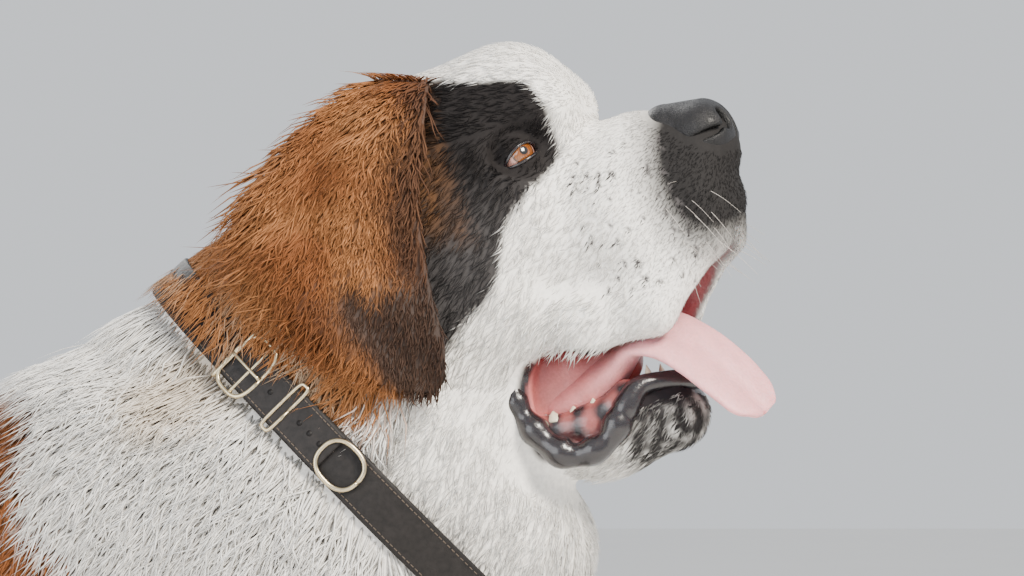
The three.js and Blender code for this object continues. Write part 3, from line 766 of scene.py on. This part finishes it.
def coat_pieces(name, hair, wave, rings=LONG_RINGS):
    root, normal, run, length, width, lift, colour, chart = hair
    run = unit(run - normal * (run * normal).sum(1, keepdims=True))
    shape = (root, normal, run, length, width, lift)
    each = 1 + 6 * (len(rings) - 1) + 3
    order = np.argsort(chart[:, 0], kind="stable")
    parts = max(1, int(np.ceil(len(root) * each / MOST_FACES)))
    for k, pick in enumerate(np.array_split(order, parts)):
        points, faces, shade, count = tuft_mesh(*(value[pick] for value in shape), wave, rings)
        tone = rng.normal(1, 0.09, len(pick))[:, None]
        # The tint carries the painted shade at the tufts' roots and the painted light at their tips
        tint = (colour[pick] * tone)[:, None, :] * shade[None, :, None]
        uv = chart[pick][:, None, :] * 0.99
        grid = np.stack([np.arange(count) % 3, np.arange(count) // 3], 1) * 0.001
        uv = (uv + grid[None]).reshape(-1, 2)
        label = f"{name}_{k + 1}" if parts > 1 else name
        add(label, points, faces, np.clip(tint.reshape(-1, 3), 0, 1), COAT, "coat_white", uv)


def scatter(points, faces, density):
    # Draws points on a mesh, more where its density (tufts for each square millimetre) is higher
    tri = np.concatenate([faces[:, [0, 1, 2]], faces[:, [0, 2, 3]]]) if faces.shape[1] == 4 else faces
    a, b, c = points[tri[:, 0]], points[tri[:, 1]], points[tri[:, 2]]
    area = np.linalg.norm(np.cross(b - a, c - a), axis=1) / 2
    want = area * density((a + b + c) / 3)
    count = np.floor(want + rng.random(len(want))).astype(int)
    pick = np.repeat(np.arange(len(tri)), count)
    u, v = rng.random(len(pick)), rng.random(len(pick))
    over = u + v > 1
    u[over], v[over] = 1 - u[over], 1 - v[over]
    normal = unit(np.cross(b - a, c - a))[pick]
    return a[pick] + (b - a)[pick] * u[:, None] + (c - a)[pick] * v[:, None], normal


def swept(rings, closed=False):
    # A skin over rings of points, faces outward, with both ends filled where it isn't closed
    count, sides = rings.shape[:2]
    i = np.arange(sides)
    j = (i + 1) % sides
    points = rings.reshape(-1, 3)
    tri = []
    for r in range(count if closed else count - 1):
        low = r * sides
        high = (r + 1) % count * sides
        tri.append(np.stack([low + i, low + j, high + j], 1))
        tri.append(np.stack([low + i, high + j, high + i], 1))
    if not closed:
        last = (count - 1) * sides
        points = np.concatenate([points, rings[[0, -1]].mean(1)])
        tri.append(np.stack([np.full(sides, last + sides), j, i], 1))
        tri.append(np.stack([np.full(sides, last + sides + 1), last + i, last + j], 1))
    tri = np.concatenate(tri)
    a, b, c = (points[tri[:, k]] for k in range(3))
    outward = (a * np.cross(b, c)).sum() > 0
    return points, tri if outward else tri[:, ::-1]


def catmull(rows, parts):
    rows = np.array(rows, float)
    padded = np.concatenate([[2 * rows[0] - rows[1]], rows, [2 * rows[-1] - rows[-2]]])
    out = []
    for i in range(1, len(padded) - 2):
        p0, p1, p2, p3 = padded[i - 1:i + 3]
        for k in range(parts):
            t = k / parts
            out.append(0.5 * (2 * p1 + (p2 - p0) * t + (2 * p0 - 5 * p1 + 4 * p2 - p3) * t * t
                              + (3 * p1 - p0 - 3 * p2 + p3) * t ** 3))
    out.append(rows[-1])
    return np.array(out)


LIP_RADIUS = 8.5
LOWER_LIP = [
    (-40, 43, -128), (-45, 43, -146), (-47, 44, -166), (-40, 44, -191), (-23, 43, -213), (3, 40, -214),
    (23, 35, -196), (38, 30, -183), (56, 20, -184), (68, 8, -188), (71, 0, -189),
]


def lip_line(steps=60):
    line = catmull(LOWER_LIP, 8)
    pick = np.linspace(0, len(line) - 1, steps)
    return np.stack([np.interp(pick, np.arange(len(line)), line[:, k]) for k in range(3)], 1)


def lip_distance(h):
    line = lip_line(30)
    away = h * np.array([1, 0, 1]) + np.abs(h) * np.array([0, 1, 0])
    return np.linalg.norm(away[:, None] - line[None], axis=2).min(1)


def bare(p):
    # Where no hair grows: the nose, the mouth and lips, and the lids' rims
    h = to_head(p)
    hollow = mouth(h, 0)
    lower = (h[:, 2] < -146) | (h[:, 0] < -26)
    lips = (hollow < np.where(lower, 11, 3.0)) & (h[:, 2] < -70) & (h[:, 0] > -70)
    leather = nose_form(h, 0) < 2.0
    lips |= (gums(h, 0) < 3) | (lip_distance(h) < LIP_RADIUS + 1)
    eye = np.zeros(len(p), bool)
    for s in (-1, 1):
        away = np.linalg.norm(h - eye_centre(s), axis=1)
        eye |= (away < LID + 3.5) & (eye_opening(h, s) < 2.2)
    return lips | leather | eye


thin = 1.0
UNDER_STRAP = COLLAR_WIDTH / 2 - 2


def face_amount(h):
    # 1 on the face and skull, falling to 0 on the neck
    return np.clip((h[:, 0] + 92 + np.minimum(h[:, 2] + 110, 0) * -0.9) / 30, 0, 1)


def head_coat():
    def density(p):
        h = to_head(p)
        face = face_amount(h)
        muzzle_side = np.clip((h[:, 0] - 20) / 60, 0, 1)
        return thin * (face * (0.13 + 0.12 * muzzle_side) + (1 - face) * 0.09)

    root = scatter(head_points, head_faces, density)[0]
    root = root[~bare(root) & (collar_side(root) > UNDER_STRAP)]
    normal = gradient(head_field, root)
    h = to_head(root)
    x, y, z = h.T
    face = face_amount(h)
    n = len(root)
    # On the face the hair runs back from the nose and out over cheek and lip
    back = np.stack([-np.ones(n), np.sign(y) * 0.25, np.where(z < 20, -0.75, 0.1)], 1) @ HEAD_TURN.T
    flow_neck = np.array([-0.42, 0, -0.9]) + 0.25 * normal * np.array([1, 1, 0])
    run = blend(flow_neck, back, face[:, None]) + rng.normal(0, 0.17, (n, 3))
    muzzle_side = np.clip((x + 10) / 90, 0, 1)
    short = 12 - 7.5 * muzzle_side + 7 * np.clip((-z - 60) / 80, 0, 1) * (1 - muzzle_side)
    long = 58 + 10 * wobble(root, 40)
    length = (face * short + (1 - face) * long) * rng.uniform(0.75, 1.25, n)
    # Hair above the strap ends a little way over its edge
    towards = np.maximum(-unit(run) @ COLLAR_AXIS, 0.15)
    room = (collar_side(root) - UNDER_STRAP) / towards + rng.uniform(7, 16, n)
    room += np.where((root[:, 2] < 600) & (root[:, 0] > 150), rng.uniform(0, 16, n), 0)
    # On the nape it falls over the strap
    room += np.where((root[:, 2] > 650) & (root[:, 0] < 60), rng.uniform(14, 34, n), 0)
    length = np.minimum(length, np.maximum(room, 8))
    width = (face * (1.5 - 0.5 * muzzle_side) + (1 - face) * 2.4) * rng.uniform(0.6, 1.3, n)
    lift = face * (1.6 - 0.7 * muzzle_side) + (1 - face) * 13
    angle = np.arctan2(y, z + 50) / (2 * pi) + 0.5
    chart = np.stack([angle, np.clip((x + 260) / 420, 0, 1)], 1)
    hair = (root, normal, run, length, width, lift, marks(root, normal), chart)
    small = face > 0.6
    coat_pieces("coat_face", [value[small] for value in hair], 0.2, SHORT_RINGS)
    coat_pieces("coat_neck", [value[~small] for value in hair], 0.8)


def body_coat():
    feet_height = 75

    def density(p):
        low = np.clip((feet_height - p[:, 2]) / 30, 0, 1) * ((np.abs(p[:, 1]) > 85) | (p[:, 0] > 40))
        leg = (p[:, 2] < 330) & (p[:, 0] > 0)
        shoulder = (p[:, 0] > -170) & (p[:, 2] > 400) & (p[:, 1] < 40)
        return thin * (0.034 + 0.05 * low + 0.03 * leg + 0.05 * shoulder) * (p[:, 2] > 2)

    root = scatter(body_points, body_faces, density)[0]
    root = root[collar_side(root) < -UNDER_STRAP]
    normal = gradient(body_field, root)
    n = len(root)
    x, y, z = root.T
    fore = (x > 0) & (z < 340)
    foot = (z < feet_height) & ((np.abs(y) > 85) | (x > 40)) & (x > -215)
    on_tail = x < -360
    run = np.tile(np.array([-0.5, 0, -0.85]), (n, 1))
    front = x > 150
    run[front] = np.array([0.0, 0, -1.0])
    run[fore] = np.array([-0.25, 0, -1.0])
    run[foot] = np.array([0.9, 0, -0.35])
    run[on_tail] = np.array([-0.9, -0.25, -0.15]) + normal[on_tail] * np.array([0, 0.9, 0])
    run += rng.normal(0, 0.16, (n, 3))
    length = 50 + 9 * wobble(root, 60)
    rump = (x < -180) & (z < 330)
    length[rump] += 12
    length[fore] = np.where(normal[fore, 0] < -0.2, 42, 20)
    length[on_tail] = 40
    length[np.abs(y) > 165] *= 0.72
    length[foot] = 10
    length *= rng.uniform(0.75, 1.25, n)
    shown = (x > -190) & (z > 390) & (y < 50)
    broad = np.where(shown, 2.3, 3.3)
    width = np.where(foot, 1.9, np.where(fore, 2.4, broad)) * rng.uniform(0.6, 1.3, n)
    lift = np.where(foot, 1.6, np.where(fore, 4.5, np.where(x > 190, 17.0, 8.0)))
    angle = np.arctan2(y, z - 250) / (2 * pi) + 0.5
    chart = np.stack([angle, np.clip((x + 760) / 1120, 0, 1)], 1)
    hair = (root, normal, run, length, width, lift, marks(root, normal), chart)
    coat_pieces("coat_body", [value[~foot] for value in hair], 0.7)
    coat_pieces("coat_feet", [value[foot] for value in hair], 0.2, SHORT_RINGS)


head_coat()
body_coat()

# Ears


def coat_at(x, z, s):
    # How far out of the head's middle plane the coat of the head and neck reaches
    reach = np.arange(0, 260, 5.0)
    way = HEAD_TURN @ np.array([0.0, s, 0.0])
    start = from_head(np.stack([x, 0 * x, z], -1))
    p = start[..., None, :] + way * reach[:, None]
    flat = p.reshape(-1, 3)
    d = smooth_min(head_bare(to_head(flat), 1.0), trunk(flat, 1.0), 40).reshape(p.shape[:-1])
    first = np.maximum((d > 0).argmax(-1), 1)
    before = np.take_along_axis(d, first[..., None] - 1, -1)[..., 0]
    after = np.take_along_axis(d, first[..., None], -1)[..., 0]
    part = np.clip(before / np.minimum(before - after, -1e-6), 0, 1)
    return np.where(before < 0, reach[first - 1] + 5 * part, 0) - EAR_SUNK


def ear(side, s):
    # A hanging flap, laid on the coat of the head and neck; its rows run from the base down
    rows = catmull(EAR_ROWS, 6)
    sides = 48
    a = 2 * pi * np.arange(sides) / sides
    across = 0.93 * rows[:, 2:3] * np.sin(a)
    x = rows[:, 0:1] + EAR_ACROSS[0] * across
    z = rows[:, 1:2] + EAR_ACROSS[2] * across
    middle = coat_at(rows[:, 0], rows[:, 1], s)[:, None]
    under = np.maximum(coat_at(x, z, s), middle - EAR_STIFF)
    fold = 2.0 * np.sin(across * 0.11 + rows[:, 1:2] * 0.02)
    y = under + 2.5 + rows[:, 3:4] * 0.62 * (1 + np.cos(a)) + fold
    points, tri = swept(from_head(np.stack([x, s * y, z], -1)))
    spine_line = rows[:, [0, 0, 1]] * np.array([1, 0, 1])

    def forward(h):
        # From -1 at the flap's back edge to 1 at its front edge
        row = np.abs((h @ EAR_DOWN)[:, None] - spine_line @ EAR_DOWN).argmin(1)
        return np.clip(((h - spine_line[row]) @ EAR_ACROSS) / (rows[row, 2] + 1), -1, 1), row

    def colour_of(p):
        h = to_head(p)
        ahead = forward(h)[0]
        fine = wobble(p, 8, 1.0) * 5
        broad = wobble(p, 20, 2.0)
        base = blend(RUST, RED * 0.8, np.clip(0.45 + 0.5 * broad, 0, 1)[:, None])
        front = step((0.55 - ahead) * 60 + fine, 14) * 0.75
        low = step(np.maximum(h[:, 2] + 62 + fine, (-0.25 - ahead) * 60 + fine), 14)
        shade = np.maximum(front, low * 0.93)
        return blend(base, BLACK * 1.8 + np.array([0.012, 0.004, 0]), shade)

    leather = add(f"ear_leather_{side}", points, tri, colour_of(points) * 0.6, EAR_SKIN, "coat_red")
    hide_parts(f"ear_{side}")

    root, normal = scatter(points, tri, lambda p: np.full(len(p), thin * 0.17))
    n = len(root)
    h = to_head(root)
    ahead, row = forward(h)
    rear = np.clip(-ahead, 0, 1)
    high = np.clip((h[:, 2] + 60) / 90, 0, 1)
    run = EAR_DOWN - EAR_ACROSS * (0.15 + 0.55 * rear * rear)[:, None] + rng.normal(0, 0.17, (n, 3))
    run = run @ HEAD_TURN.T
    length = (13 + 18 * high + 28 * rear * np.clip((h[:, 2] + 125) / 60, 0, 1)) * rng.uniform(0.7, 1.25, n)
    length[h[:, 2] > 52] *= 0.55
    width = (1.5 + 1.1 * high) * rng.uniform(0.7, 1.3, n)
    lift = 2.0 + 2.2 * high
    chart = np.stack([0.25 + 0.22 * ahead + 0.5 * (normal @ HEAD_TURN[:, 1] * s > 0), row / len(rows)], 1)
    coat_pieces(f"coat_ear_{side}", (root, normal, run, length, width, lift, colour_of(root), chart), 0.9)


for side, s in SIDES:
    ear(side, s)

# Eyes


def eye_piece(side, s):
    gaze, ahead, up = eye_axes(s)
    rings, sides = 60, 64
    a = np.linspace(0, pi, rings + 1)
    b = 2 * pi * np.arange(sides) / sides
    bulge = 1 + 0.07 * np.exp(-(a / 0.42) ** 4)
    radius = EYE_RADIUS * 0.985 * bulge
    away = (radius * np.cos(a))[:, None, None] * gaze
    turned = np.cos(b)[:, None] * ahead + np.sin(b)[:, None] * up
    out = (radius * np.sin(a))[:, None, None] * turned
    points = (away + out).reshape(-1, 3) + eye_centre(s)
    low = sides * np.arange(rings)[:, None]
    i = np.arange(sides)
    j = (i + 1) % sides
    faces = np.stack([low + i, low + sides + i, low + sides + j, low + j], -1).reshape(-1, 4)
    angle = np.repeat(a, sides)
    around = np.tile(b, rings + 1)
    fibre = 0.75 + 0.35 * np.sin(around * 23) * np.sin(around * 9 + angle * 30)
    colour = np.where((angle < 0.72)[:, None], IRIS * fibre[:, None], EYE_WHITE)
    colour = np.where(((angle > 0.65) & (angle < 0.74))[:, None], IRIS * 0.18, colour)
    colour = np.where((angle < 0.26)[:, None], PUPIL, colour)
    ball = add(f"eyeball_{side}", from_head(points), faces, colour, EYE_SHINE, "eye")
    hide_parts(f"eye_{side}")


def tube(points, radii, sides=10):
    radii = np.broadcast_to(radii, len(points))[:, None, None]
    along = unit(np.gradient(points, axis=0))
    u = unit(np.cross(along, np.array([0.31, 0.87, 0.37])))
    v = np.cross(along, u)
    a = (2 * pi * np.arange(sides) / sides)[:, None]
    return swept(points[:, None] + radii * (np.cos(a) * u[:, None] + np.sin(a) * v[:, None]))


def lid_rim(side, s):
    # The dark wet rim that edges the opening between the lids
    gaze, ahead, up = eye_axes(s)
    a = 2 * pi * np.arange(97) / 96
    x = 13.6 * np.cos(a)
    y = 5.7 * np.sin(a) + x * 0.16 - 1.0 - 0.0072 * x * x
    r = EYE_RADIUS + 1.5
    depth = np.sqrt(np.maximum(r * r - x * x - y * y, 9))
    line = eye_centre(s) + x[:, None] * ahead + y[:, None] * up + depth[:, None] * gaze
    add(f"lid_rim_{side}", *tube(from_head(line), 1.15, 8), LIP, WET, "nose_leather")


EYE_SHINE = surface("eye_shine", roughness=0.06, coat=1.0, bump_scale=80, vary=0.02)
for side, s in SIDES:
    eye_piece(side, s)
    lid_rim(side, s)

# Nose


def nostril(h):
    x, y, z = h[:, 0], np.abs(h[:, 1]), h[:, 2]
    hole = elliptic(x - 148, y - 13.5, z + 21, 13, 6.2, 8.0)
    slit = elliptic(x - 140, y - 27 + (z + 28) * 0.1, z + 29 - (x - 140) * 0.12, 15, 9, 2.8)
    groove = elliptic(0 * y, y, x - 156 + (z + 30) * 0.1, 99, 1.6, 7)
    return smooth_min(smooth_min(hole, slit, 4), np.where(x > 140, groove, 30), 2)


def nose_field(p):
    h = to_head(p)
    return smooth_max(nose_form(h, 0), -nostril(h), 3)


nose_middle = from_head((126, 0, -22))
nose_points, nose_faces = surface_nets(nose_field, nose_middle - 48, nose_middle + 48, 1.2)
nose_h = to_head(nose_points)
# Painted shade: the nose leather is darkened inside the nostrils, where shade falls in the holes
nostril_shade = step(nostril(nose_h) - 1.0, 2)
pebble = np.clip(1 + 0.25 * wobble(nose_points, 1.6), 0.5, 1.5)[:, None]
nose_tone = NOSE * pebble * (1 - 0.85 * nostril_shade)
NOSE_SKIN = surface("nose_skin", roughness=0.46, bump=0.9, bump_scale=900, coat=0.06, vary=0.25, shine=0.35)
nose = add("nose_leather", nose_points, nose_faces, nose_tone, NOSE_SKIN, "nose_leather")
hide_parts("nose")

# Tongue: a ribbon swept along rows of [x, y, z, half width, half thickness], with a middle groove

TONGUE_ROWS = [
    (-30, -1, -184, 24, 24),
    (0, -4, -172, 26, 18),
    (24, -8, -160, 27, 12),
    (46, -14, -149, 27, 8),
    (64, -17, -155, 27, 7),
    (82, -18, -173, 28, 6.5),
    (98, -20, -196, 28, 6),
    (107, -20, -212, 26, 5.5),
    (112, -20, -221, 20, 5),
    (114, -20, -226, 12, 4),
    (115, -20, -228, 2, 1),
]


def tongue_mesh(sides=36):
    rows = catmull(TONGUE_ROWS, 8)
    along = unit(np.gradient(rows[:, :3], axis=0))
    lean = np.array([0.3, 0.8, 0.5])
    wide = unit(lean - along * (along @ lean)[:, None])
    thick = np.cross(along, wide)
    thick *= np.sign(thick[:, 2:3] + 1e-6)
    a = 2 * pi * np.arange(sides) / sides
    groove = 2.0 * np.exp(-(np.cos(a) / 0.22) ** 2) * (np.sin(a) > 0) * (rows[:, 4:5] < 12)
    rise = rows[:, 4:5] * np.sin(a) - groove + 2.5 * np.cos(a) ** 2
    spread = rows[:, 3:4] * np.cos(a)
    return swept(rows[:, None, :3] + wide[:, None] * spread[..., None] + thick[:, None] * rise[..., None])


tongue_h, tongue_faces = tongue_mesh()
back = np.clip((50 - tongue_h[:, 0]) / 50, 0, 1)[:, None]
grain = np.clip(1 + 0.05 * wobble(tongue_h, 4), 0.85, 1.15)[:, None]
tongue_tone = np.clip(blend(TONGUE, FLESH, back * 0.8) * grain, 0, 1)
TONGUE_SKIN = surface("tongue_skin", roughness=0.42, bump=0.6, bump_scale=420, subsurface=0.2, vary=0.06)
tongue = add("tongue_flesh", from_head(tongue_h), tongue_faces, tongue_tone, TONGUE_SKIN, "tongue")
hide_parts("tongue")

# Teeth and claws


def cone(base, tip, radius, bend=(0, 0, 0), steps=8):
    t = np.linspace(0, 1, steps)[:, None]
    line = np.asarray(base) * (1 - t) + np.asarray(tip) * t + np.asarray(bend) * (t * (1 - t)) * 4
    return tube(line, radius * np.maximum(1 - t[:, 0] ** 1.7, 0.06), 10)


def gather(parts):
    points, faces, start = [], [], 0
    for p, f in parts:
        points.append(p)
        faces.append(f + start)
        start += len(p)
    return np.concatenate(points), np.concatenate(faces)


# Lower cheek teeth and canines: place, height and thickness; the incisors are a row of six
LOWER_TEETH = [
    (-28, 31, -184, 4, 6.5),
    (-13, 30, -186, 5, 7.0),
    (2, 29, -185, 5, 6.0),
    (15, 27, -182, 4, 5.0),
    (27, 25, -178, 3, 4.0),
    (44, 20, -180, 11, 4.5),
]
teeth = []
for s in (-1, 1):
    for x, y, z, tall, thick in LOWER_TEETH:
        teeth.append(cone(from_head((x, s * y, z - 4)), from_head((x + 1, s * y, z + tall)), thick))
for k in range(6):
    y = -10 + 4 * k
    teeth.append(cone(from_head((60, y, -186)), from_head((63, y, -175)), 2.4))
add("teeth", *gather(teeth), IVORY, surface("enamel", roughness=0.2, coat=0.4, bump=0.1, vary=0.08), "teeth")

claws = []
for px, py, pz in (FORE_PAW, HIND_PAW):
    for s in (-1, 1):
        for across, ahead, r in TOES:
            base = np.array([px + ahead + 18, s * py + across, pz - 10])
            claws.append(cone(base, base + np.array([20, 0, -14 if pz > 30 else -13]), 4.2, (2, 0, 3)))
points, faces = gather(claws)
points[:, 2] = np.maximum(points[:, 2], HAIR_FLOOR)
add("claws", points, faces, CLAW, surface("horn", roughness=0.35, coat=0.2, bump=0.2, vary=0.2), "claw")

# The wet black lower lip, drooping open at the side of the mouth

lips = []
for s in (-1, 1):
    line = lip_line(90) * np.array([1, s, 1])
    along = np.linspace(0, 1, len(line))
    beads = 1 + 0.13 * np.sin(along * 70) * (along < 0.6) + 0.08 * np.sin(along * 23)
    radius = LIP_RADIUS * beads * np.interp(along, [0, 0.12, 0.5, 0.75, 1], [0.7, 1, 1.25, 0.9, 0.7])
    lips.append(tube(from_head(line), radius, 14))
add("lower_lips", *gather(lips), LIP, WET, "mouth")

# Whiskers on the upper lips

whiskers = []
for s in (-1, 1):
    for k in range(22):
        x = 118 - 11 * (k % 6) + rng.normal(0, 2)
        z = -62 - 12 * (k // 6) + rng.normal(0, 2)
        root = np.array([x, s * (22 + 3 * (k % 4)), z])
        way = np.array([0.5 + rng.normal(0, 0.2), s * (0.9 + rng.normal(0, 0.2)), -0.5 + rng.normal(0, 0.25)])
        way = way / np.linalg.norm(way) * (38 + 16 * rng.random())
        t = np.linspace(0, 1, 9)[:, None]
        line = root + way * t + np.array([0, 0, -14]) * t * t
        whiskers.append(tube(from_head(line), 0.34 * (1 - 0.75 * t[:, 0]), 5))
add("whiskers", *gather(whiskers), WHISKER, COAT, "coat_white")

# Collar

CLEAR = 1.0
END_THICK = 3.6
END_ANGLES = (46, 84)
BUCKLE_AT = 50
KEEPER_AT = 66
RING_AT = 88
HOLES_AT = (60, 72, 76, 80)
COLLAR_UP = np.array([-COLLAR_AXIS[2], 0, COLLAR_AXIS[0]])


def collar_reach(out):
    # How far the pressed coat reaches from the collar's middle, which is where the strap lies
    low = np.zeros(len(out))
    high = np.full(len(out), 260.0)
    for _ in range(14):
        middle = (low + high) / 2
        p = COLLAR_MIDDLE + out * middle[:, None]
        inside = smooth_min(trunk(p, PRESSED), neck_column(p, PRESSED), 30) < 0
        low = np.where(inside, middle, low)
        high = np.where(inside, high, middle)
    return low


def collar_out(degrees):
    a = np.radians(degrees)
    return np.cos(a)[:, None] * COLLAR_UP - np.sin(a)[:, None] * np.array([0, 1.0, 0])


def strap(low_angle, high_angle, lift, thick, width, steps, closed):
    angles = np.linspace(low_angle, high_angle, steps, endpoint=not closed)
    out = collar_out(angles)
    reach = collar_reach(out)
    section = [(-0.5, 0.15), (-0.5, 0.8), (-0.46, 1.0), (-0.4, 0.97), (-0.37, 1.0), (0, 1.03), (0.37, 1.0),
               (0.4, 0.97), (0.46, 1.0), (0.5, 0.8), (0.5, 0.15), (0.46, 0), (0, 0), (-0.46, 0)]
    base = COLLAR_MIDDLE + out * (reach + lift)[:, None]
    rows = [base + out * up * thick + COLLAR_AXIS * across * width for across, up in section]
    return swept(np.stack(rows, 1), closed)


LEATHER = surface("leather", roughness=0.55, bump=0.7, bump_scale=220, vary=0.4, shine=0.3)
METAL = surface("buckle_metal", roughness=0.28, metallic=1.0, bump=0.1, bump_scale=300, vary=0.15)
band = strap(0, 360, CLEAR, COLLAR_THICK, COLLAR_WIDTH, 240, True)
collar = add("collar_strap", *band, WORN, LEATHER, "leather")
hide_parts("collar")
end = strap(*END_ANGLES, CLEAR + COLLAR_THICK, END_THICK, COLLAR_WIDTH - 1.5, 60, False)
add("collar_end", *end, WORN * 1.15, LEATHER, "leather")


def collar_frame(angle, lift):
    # Where a fitting sits on the strap: its place, along the strap, across it and outward
    out = collar_out(np.array([angle, angle + 2.0]))
    place = COLLAR_MIDDLE + out * (collar_reach(out) + lift)[:, None]
    along = place[1] - place[0]
    along = along / np.linalg.norm(along)
    outward = np.cross(along, COLLAR_AXIS)
    outward = outward * np.sign(outward @ out[0])
    return place[0], along, outward


def loop_points(angle, lift, length, width, power=3.2, steps=64):
    place, along, _ = collar_frame(angle, lift)
    a = np.linspace(0, 2 * pi, steps)
    x = np.sign(np.cos(a)) * np.abs(np.cos(a)) ** (2 / power) * length / 2
    y = np.sign(np.sin(a)) * np.abs(np.sin(a)) ** (2 / power) * width / 2
    return place + x[:, None] * along + y[:, None] * COLLAR_AXIS


def straight(angle, lift, x, width):
    place, along, _ = collar_frame(angle, lift)
    y = np.linspace(-0.5, 0.5, 12)[:, None] * width
    return place + along * x + COLLAR_AXIS * y


fittings = [
    ("collar_buckle", "buckle", [
        tube(loop_points(BUCKLE_AT, 9, 30, 44), 1.6, 10),
        tube(straight(BUCKLE_AT, 9, 4, 42), 1.3, 10),
        tube(straight(BUCKLE_AT, 9, -14, 44), 1.7, 10),
    ]),
    ("collar_keeper", "keeper", [tube(loop_points(KEEPER_AT, 10, 8, 41, 5), 1.4, 8)]),
    ("collar_ring", "ring", [tube(loop_points(RING_AT, 9.5, 34, 30, 2.4), 1.7, 12)]),
]
place, along, outward = collar_frame(BUCKLE_AT, 11.5)
t = np.linspace(0, 1, 10)[:, None]
prong = place + along * (16 - 30 * t[::-1]) + outward * np.sin(t * pi) * 1.5
fittings[0][2].append(tube(prong, 1.2, 8))
for node, name, parts in fittings:
    piece = add(f"{name}_metal", *gather(parts), BRASS, METAL, "metal")
    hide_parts(node)

# Stitches along both edges of the strap, and a near-black plug of painted shade in each hole of its end
stitches = []
for angle in np.arange(30, 150, 1.5):
    on_end = END_ANGLES[0] < angle < END_ANGLES[1]
    place, along, _ = collar_frame(angle, CLEAR + COLLAR_THICK + (END_THICK if on_end else 0) + 0.1)
    for edge in (-0.4, 0.4):
        at = place + COLLAR_AXIS * edge * COLLAR_WIDTH
        t = np.linspace(-1.4, 1.4, 4)[:, None]
        stitches.append(tube(at + along * t, 0.42, 5))
thread = surface("thread", roughness=0.8, bump=0.3, vary=0.2)
add("collar_stitches", *gather(stitches), THREAD, thread, "leather")
# Painted shade: a near-black plug stands in for the shade inside each hole
hole_shades = []
for angle in HOLES_AT:
    place, _, outward = collar_frame(angle, CLEAR + COLLAR_THICK + END_THICK)
    line = place + outward * np.array([-1.2, 0.25])[:, None]
    hole_shades.append(tube(line, 2.1, 14))
add("collar_hole_shades", *gather(hole_shades), HOLE_SHADE, LEATHER, "leather")

# Floor, lights and camera

floor_mesh = bpy.data.meshes.new("floor")
floor_mesh.from_pydata([(-9, -9, 0), (9, -9, 0), (9, 9, 0), (-9, 9, 0)], [], [(0, 1, 2, 3)])
floor = bpy.data.objects.new("floor", floor_mesh)
link(floor)
pale = surface("pale_floor", roughness=0.9, colour=(0.88, 0.87, 0.85), vary=0.01, bump_scale=3)
floor.data.materials.append(pale)


def area_light(name, place, target, size, power, colour):
    light = bpy.data.lights.new(name, "AREA")
    light.size = size
    light.energy = power
    light.color = colour
    lamp = bpy.data.objects.new(name, light)
    link(lamp)
    lamp.location = place
    lamp.rotation_euler = (Vector(target) - Vector(place)).to_track_quat("-Z", "Y").to_euler()


head_at = metres(EYE_LEVEL)
area_light("key", (1.6, -1.5, 2.3), head_at, 0.8, 130, (1.0, 0.93, 0.82))
area_light("fill", (-1.6, -2.4, 1.2), head_at, 2.2, 62, (0.96, 0.98, 1.0))
area_light("rim", (-0.8, 2.2, 2.2), head_at, 1.4, 45, (1.0, 0.98, 0.95))
world = bpy.data.worlds.new("studio")
world.use_nodes = True
world.node_tree.nodes["Background"].inputs["Color"].default_value = (0.85, 0.88, 0.92, 1)
world.node_tree.nodes["Background"].inputs["Strength"].default_value = 1.0
bpy.context.scene.world = world

# The photograph's size and the eyes' middle in it are in pixels, 1400 to the metre at the head
PHOTO = (1024, 576)
EYES_AT = (524, 158)
PIXELS = 1400
SENSOR = 36
DISTANCE = 2.9
centre_x = head_at[0] + (PHOTO[0] / 2 - EYES_AT[0]) / PIXELS
centre_z = head_at[2] - (PHOTO[1] / 2 - EYES_AT[1]) / PIXELS
lens = bpy.data.cameras.new("camera")
lens.sensor_width = SENSOR
lens.lens = SENSOR * DISTANCE / (PHOTO[0] / PIXELS)
camera = bpy.data.objects.new("camera", lens)
camera.location = (centre_x, head_at[1] - DISTANCE, centre_z)
camera.rotation_euler = (pi / 2, 0, 0)
link(camera)
bpy.context.scene.camera = camera
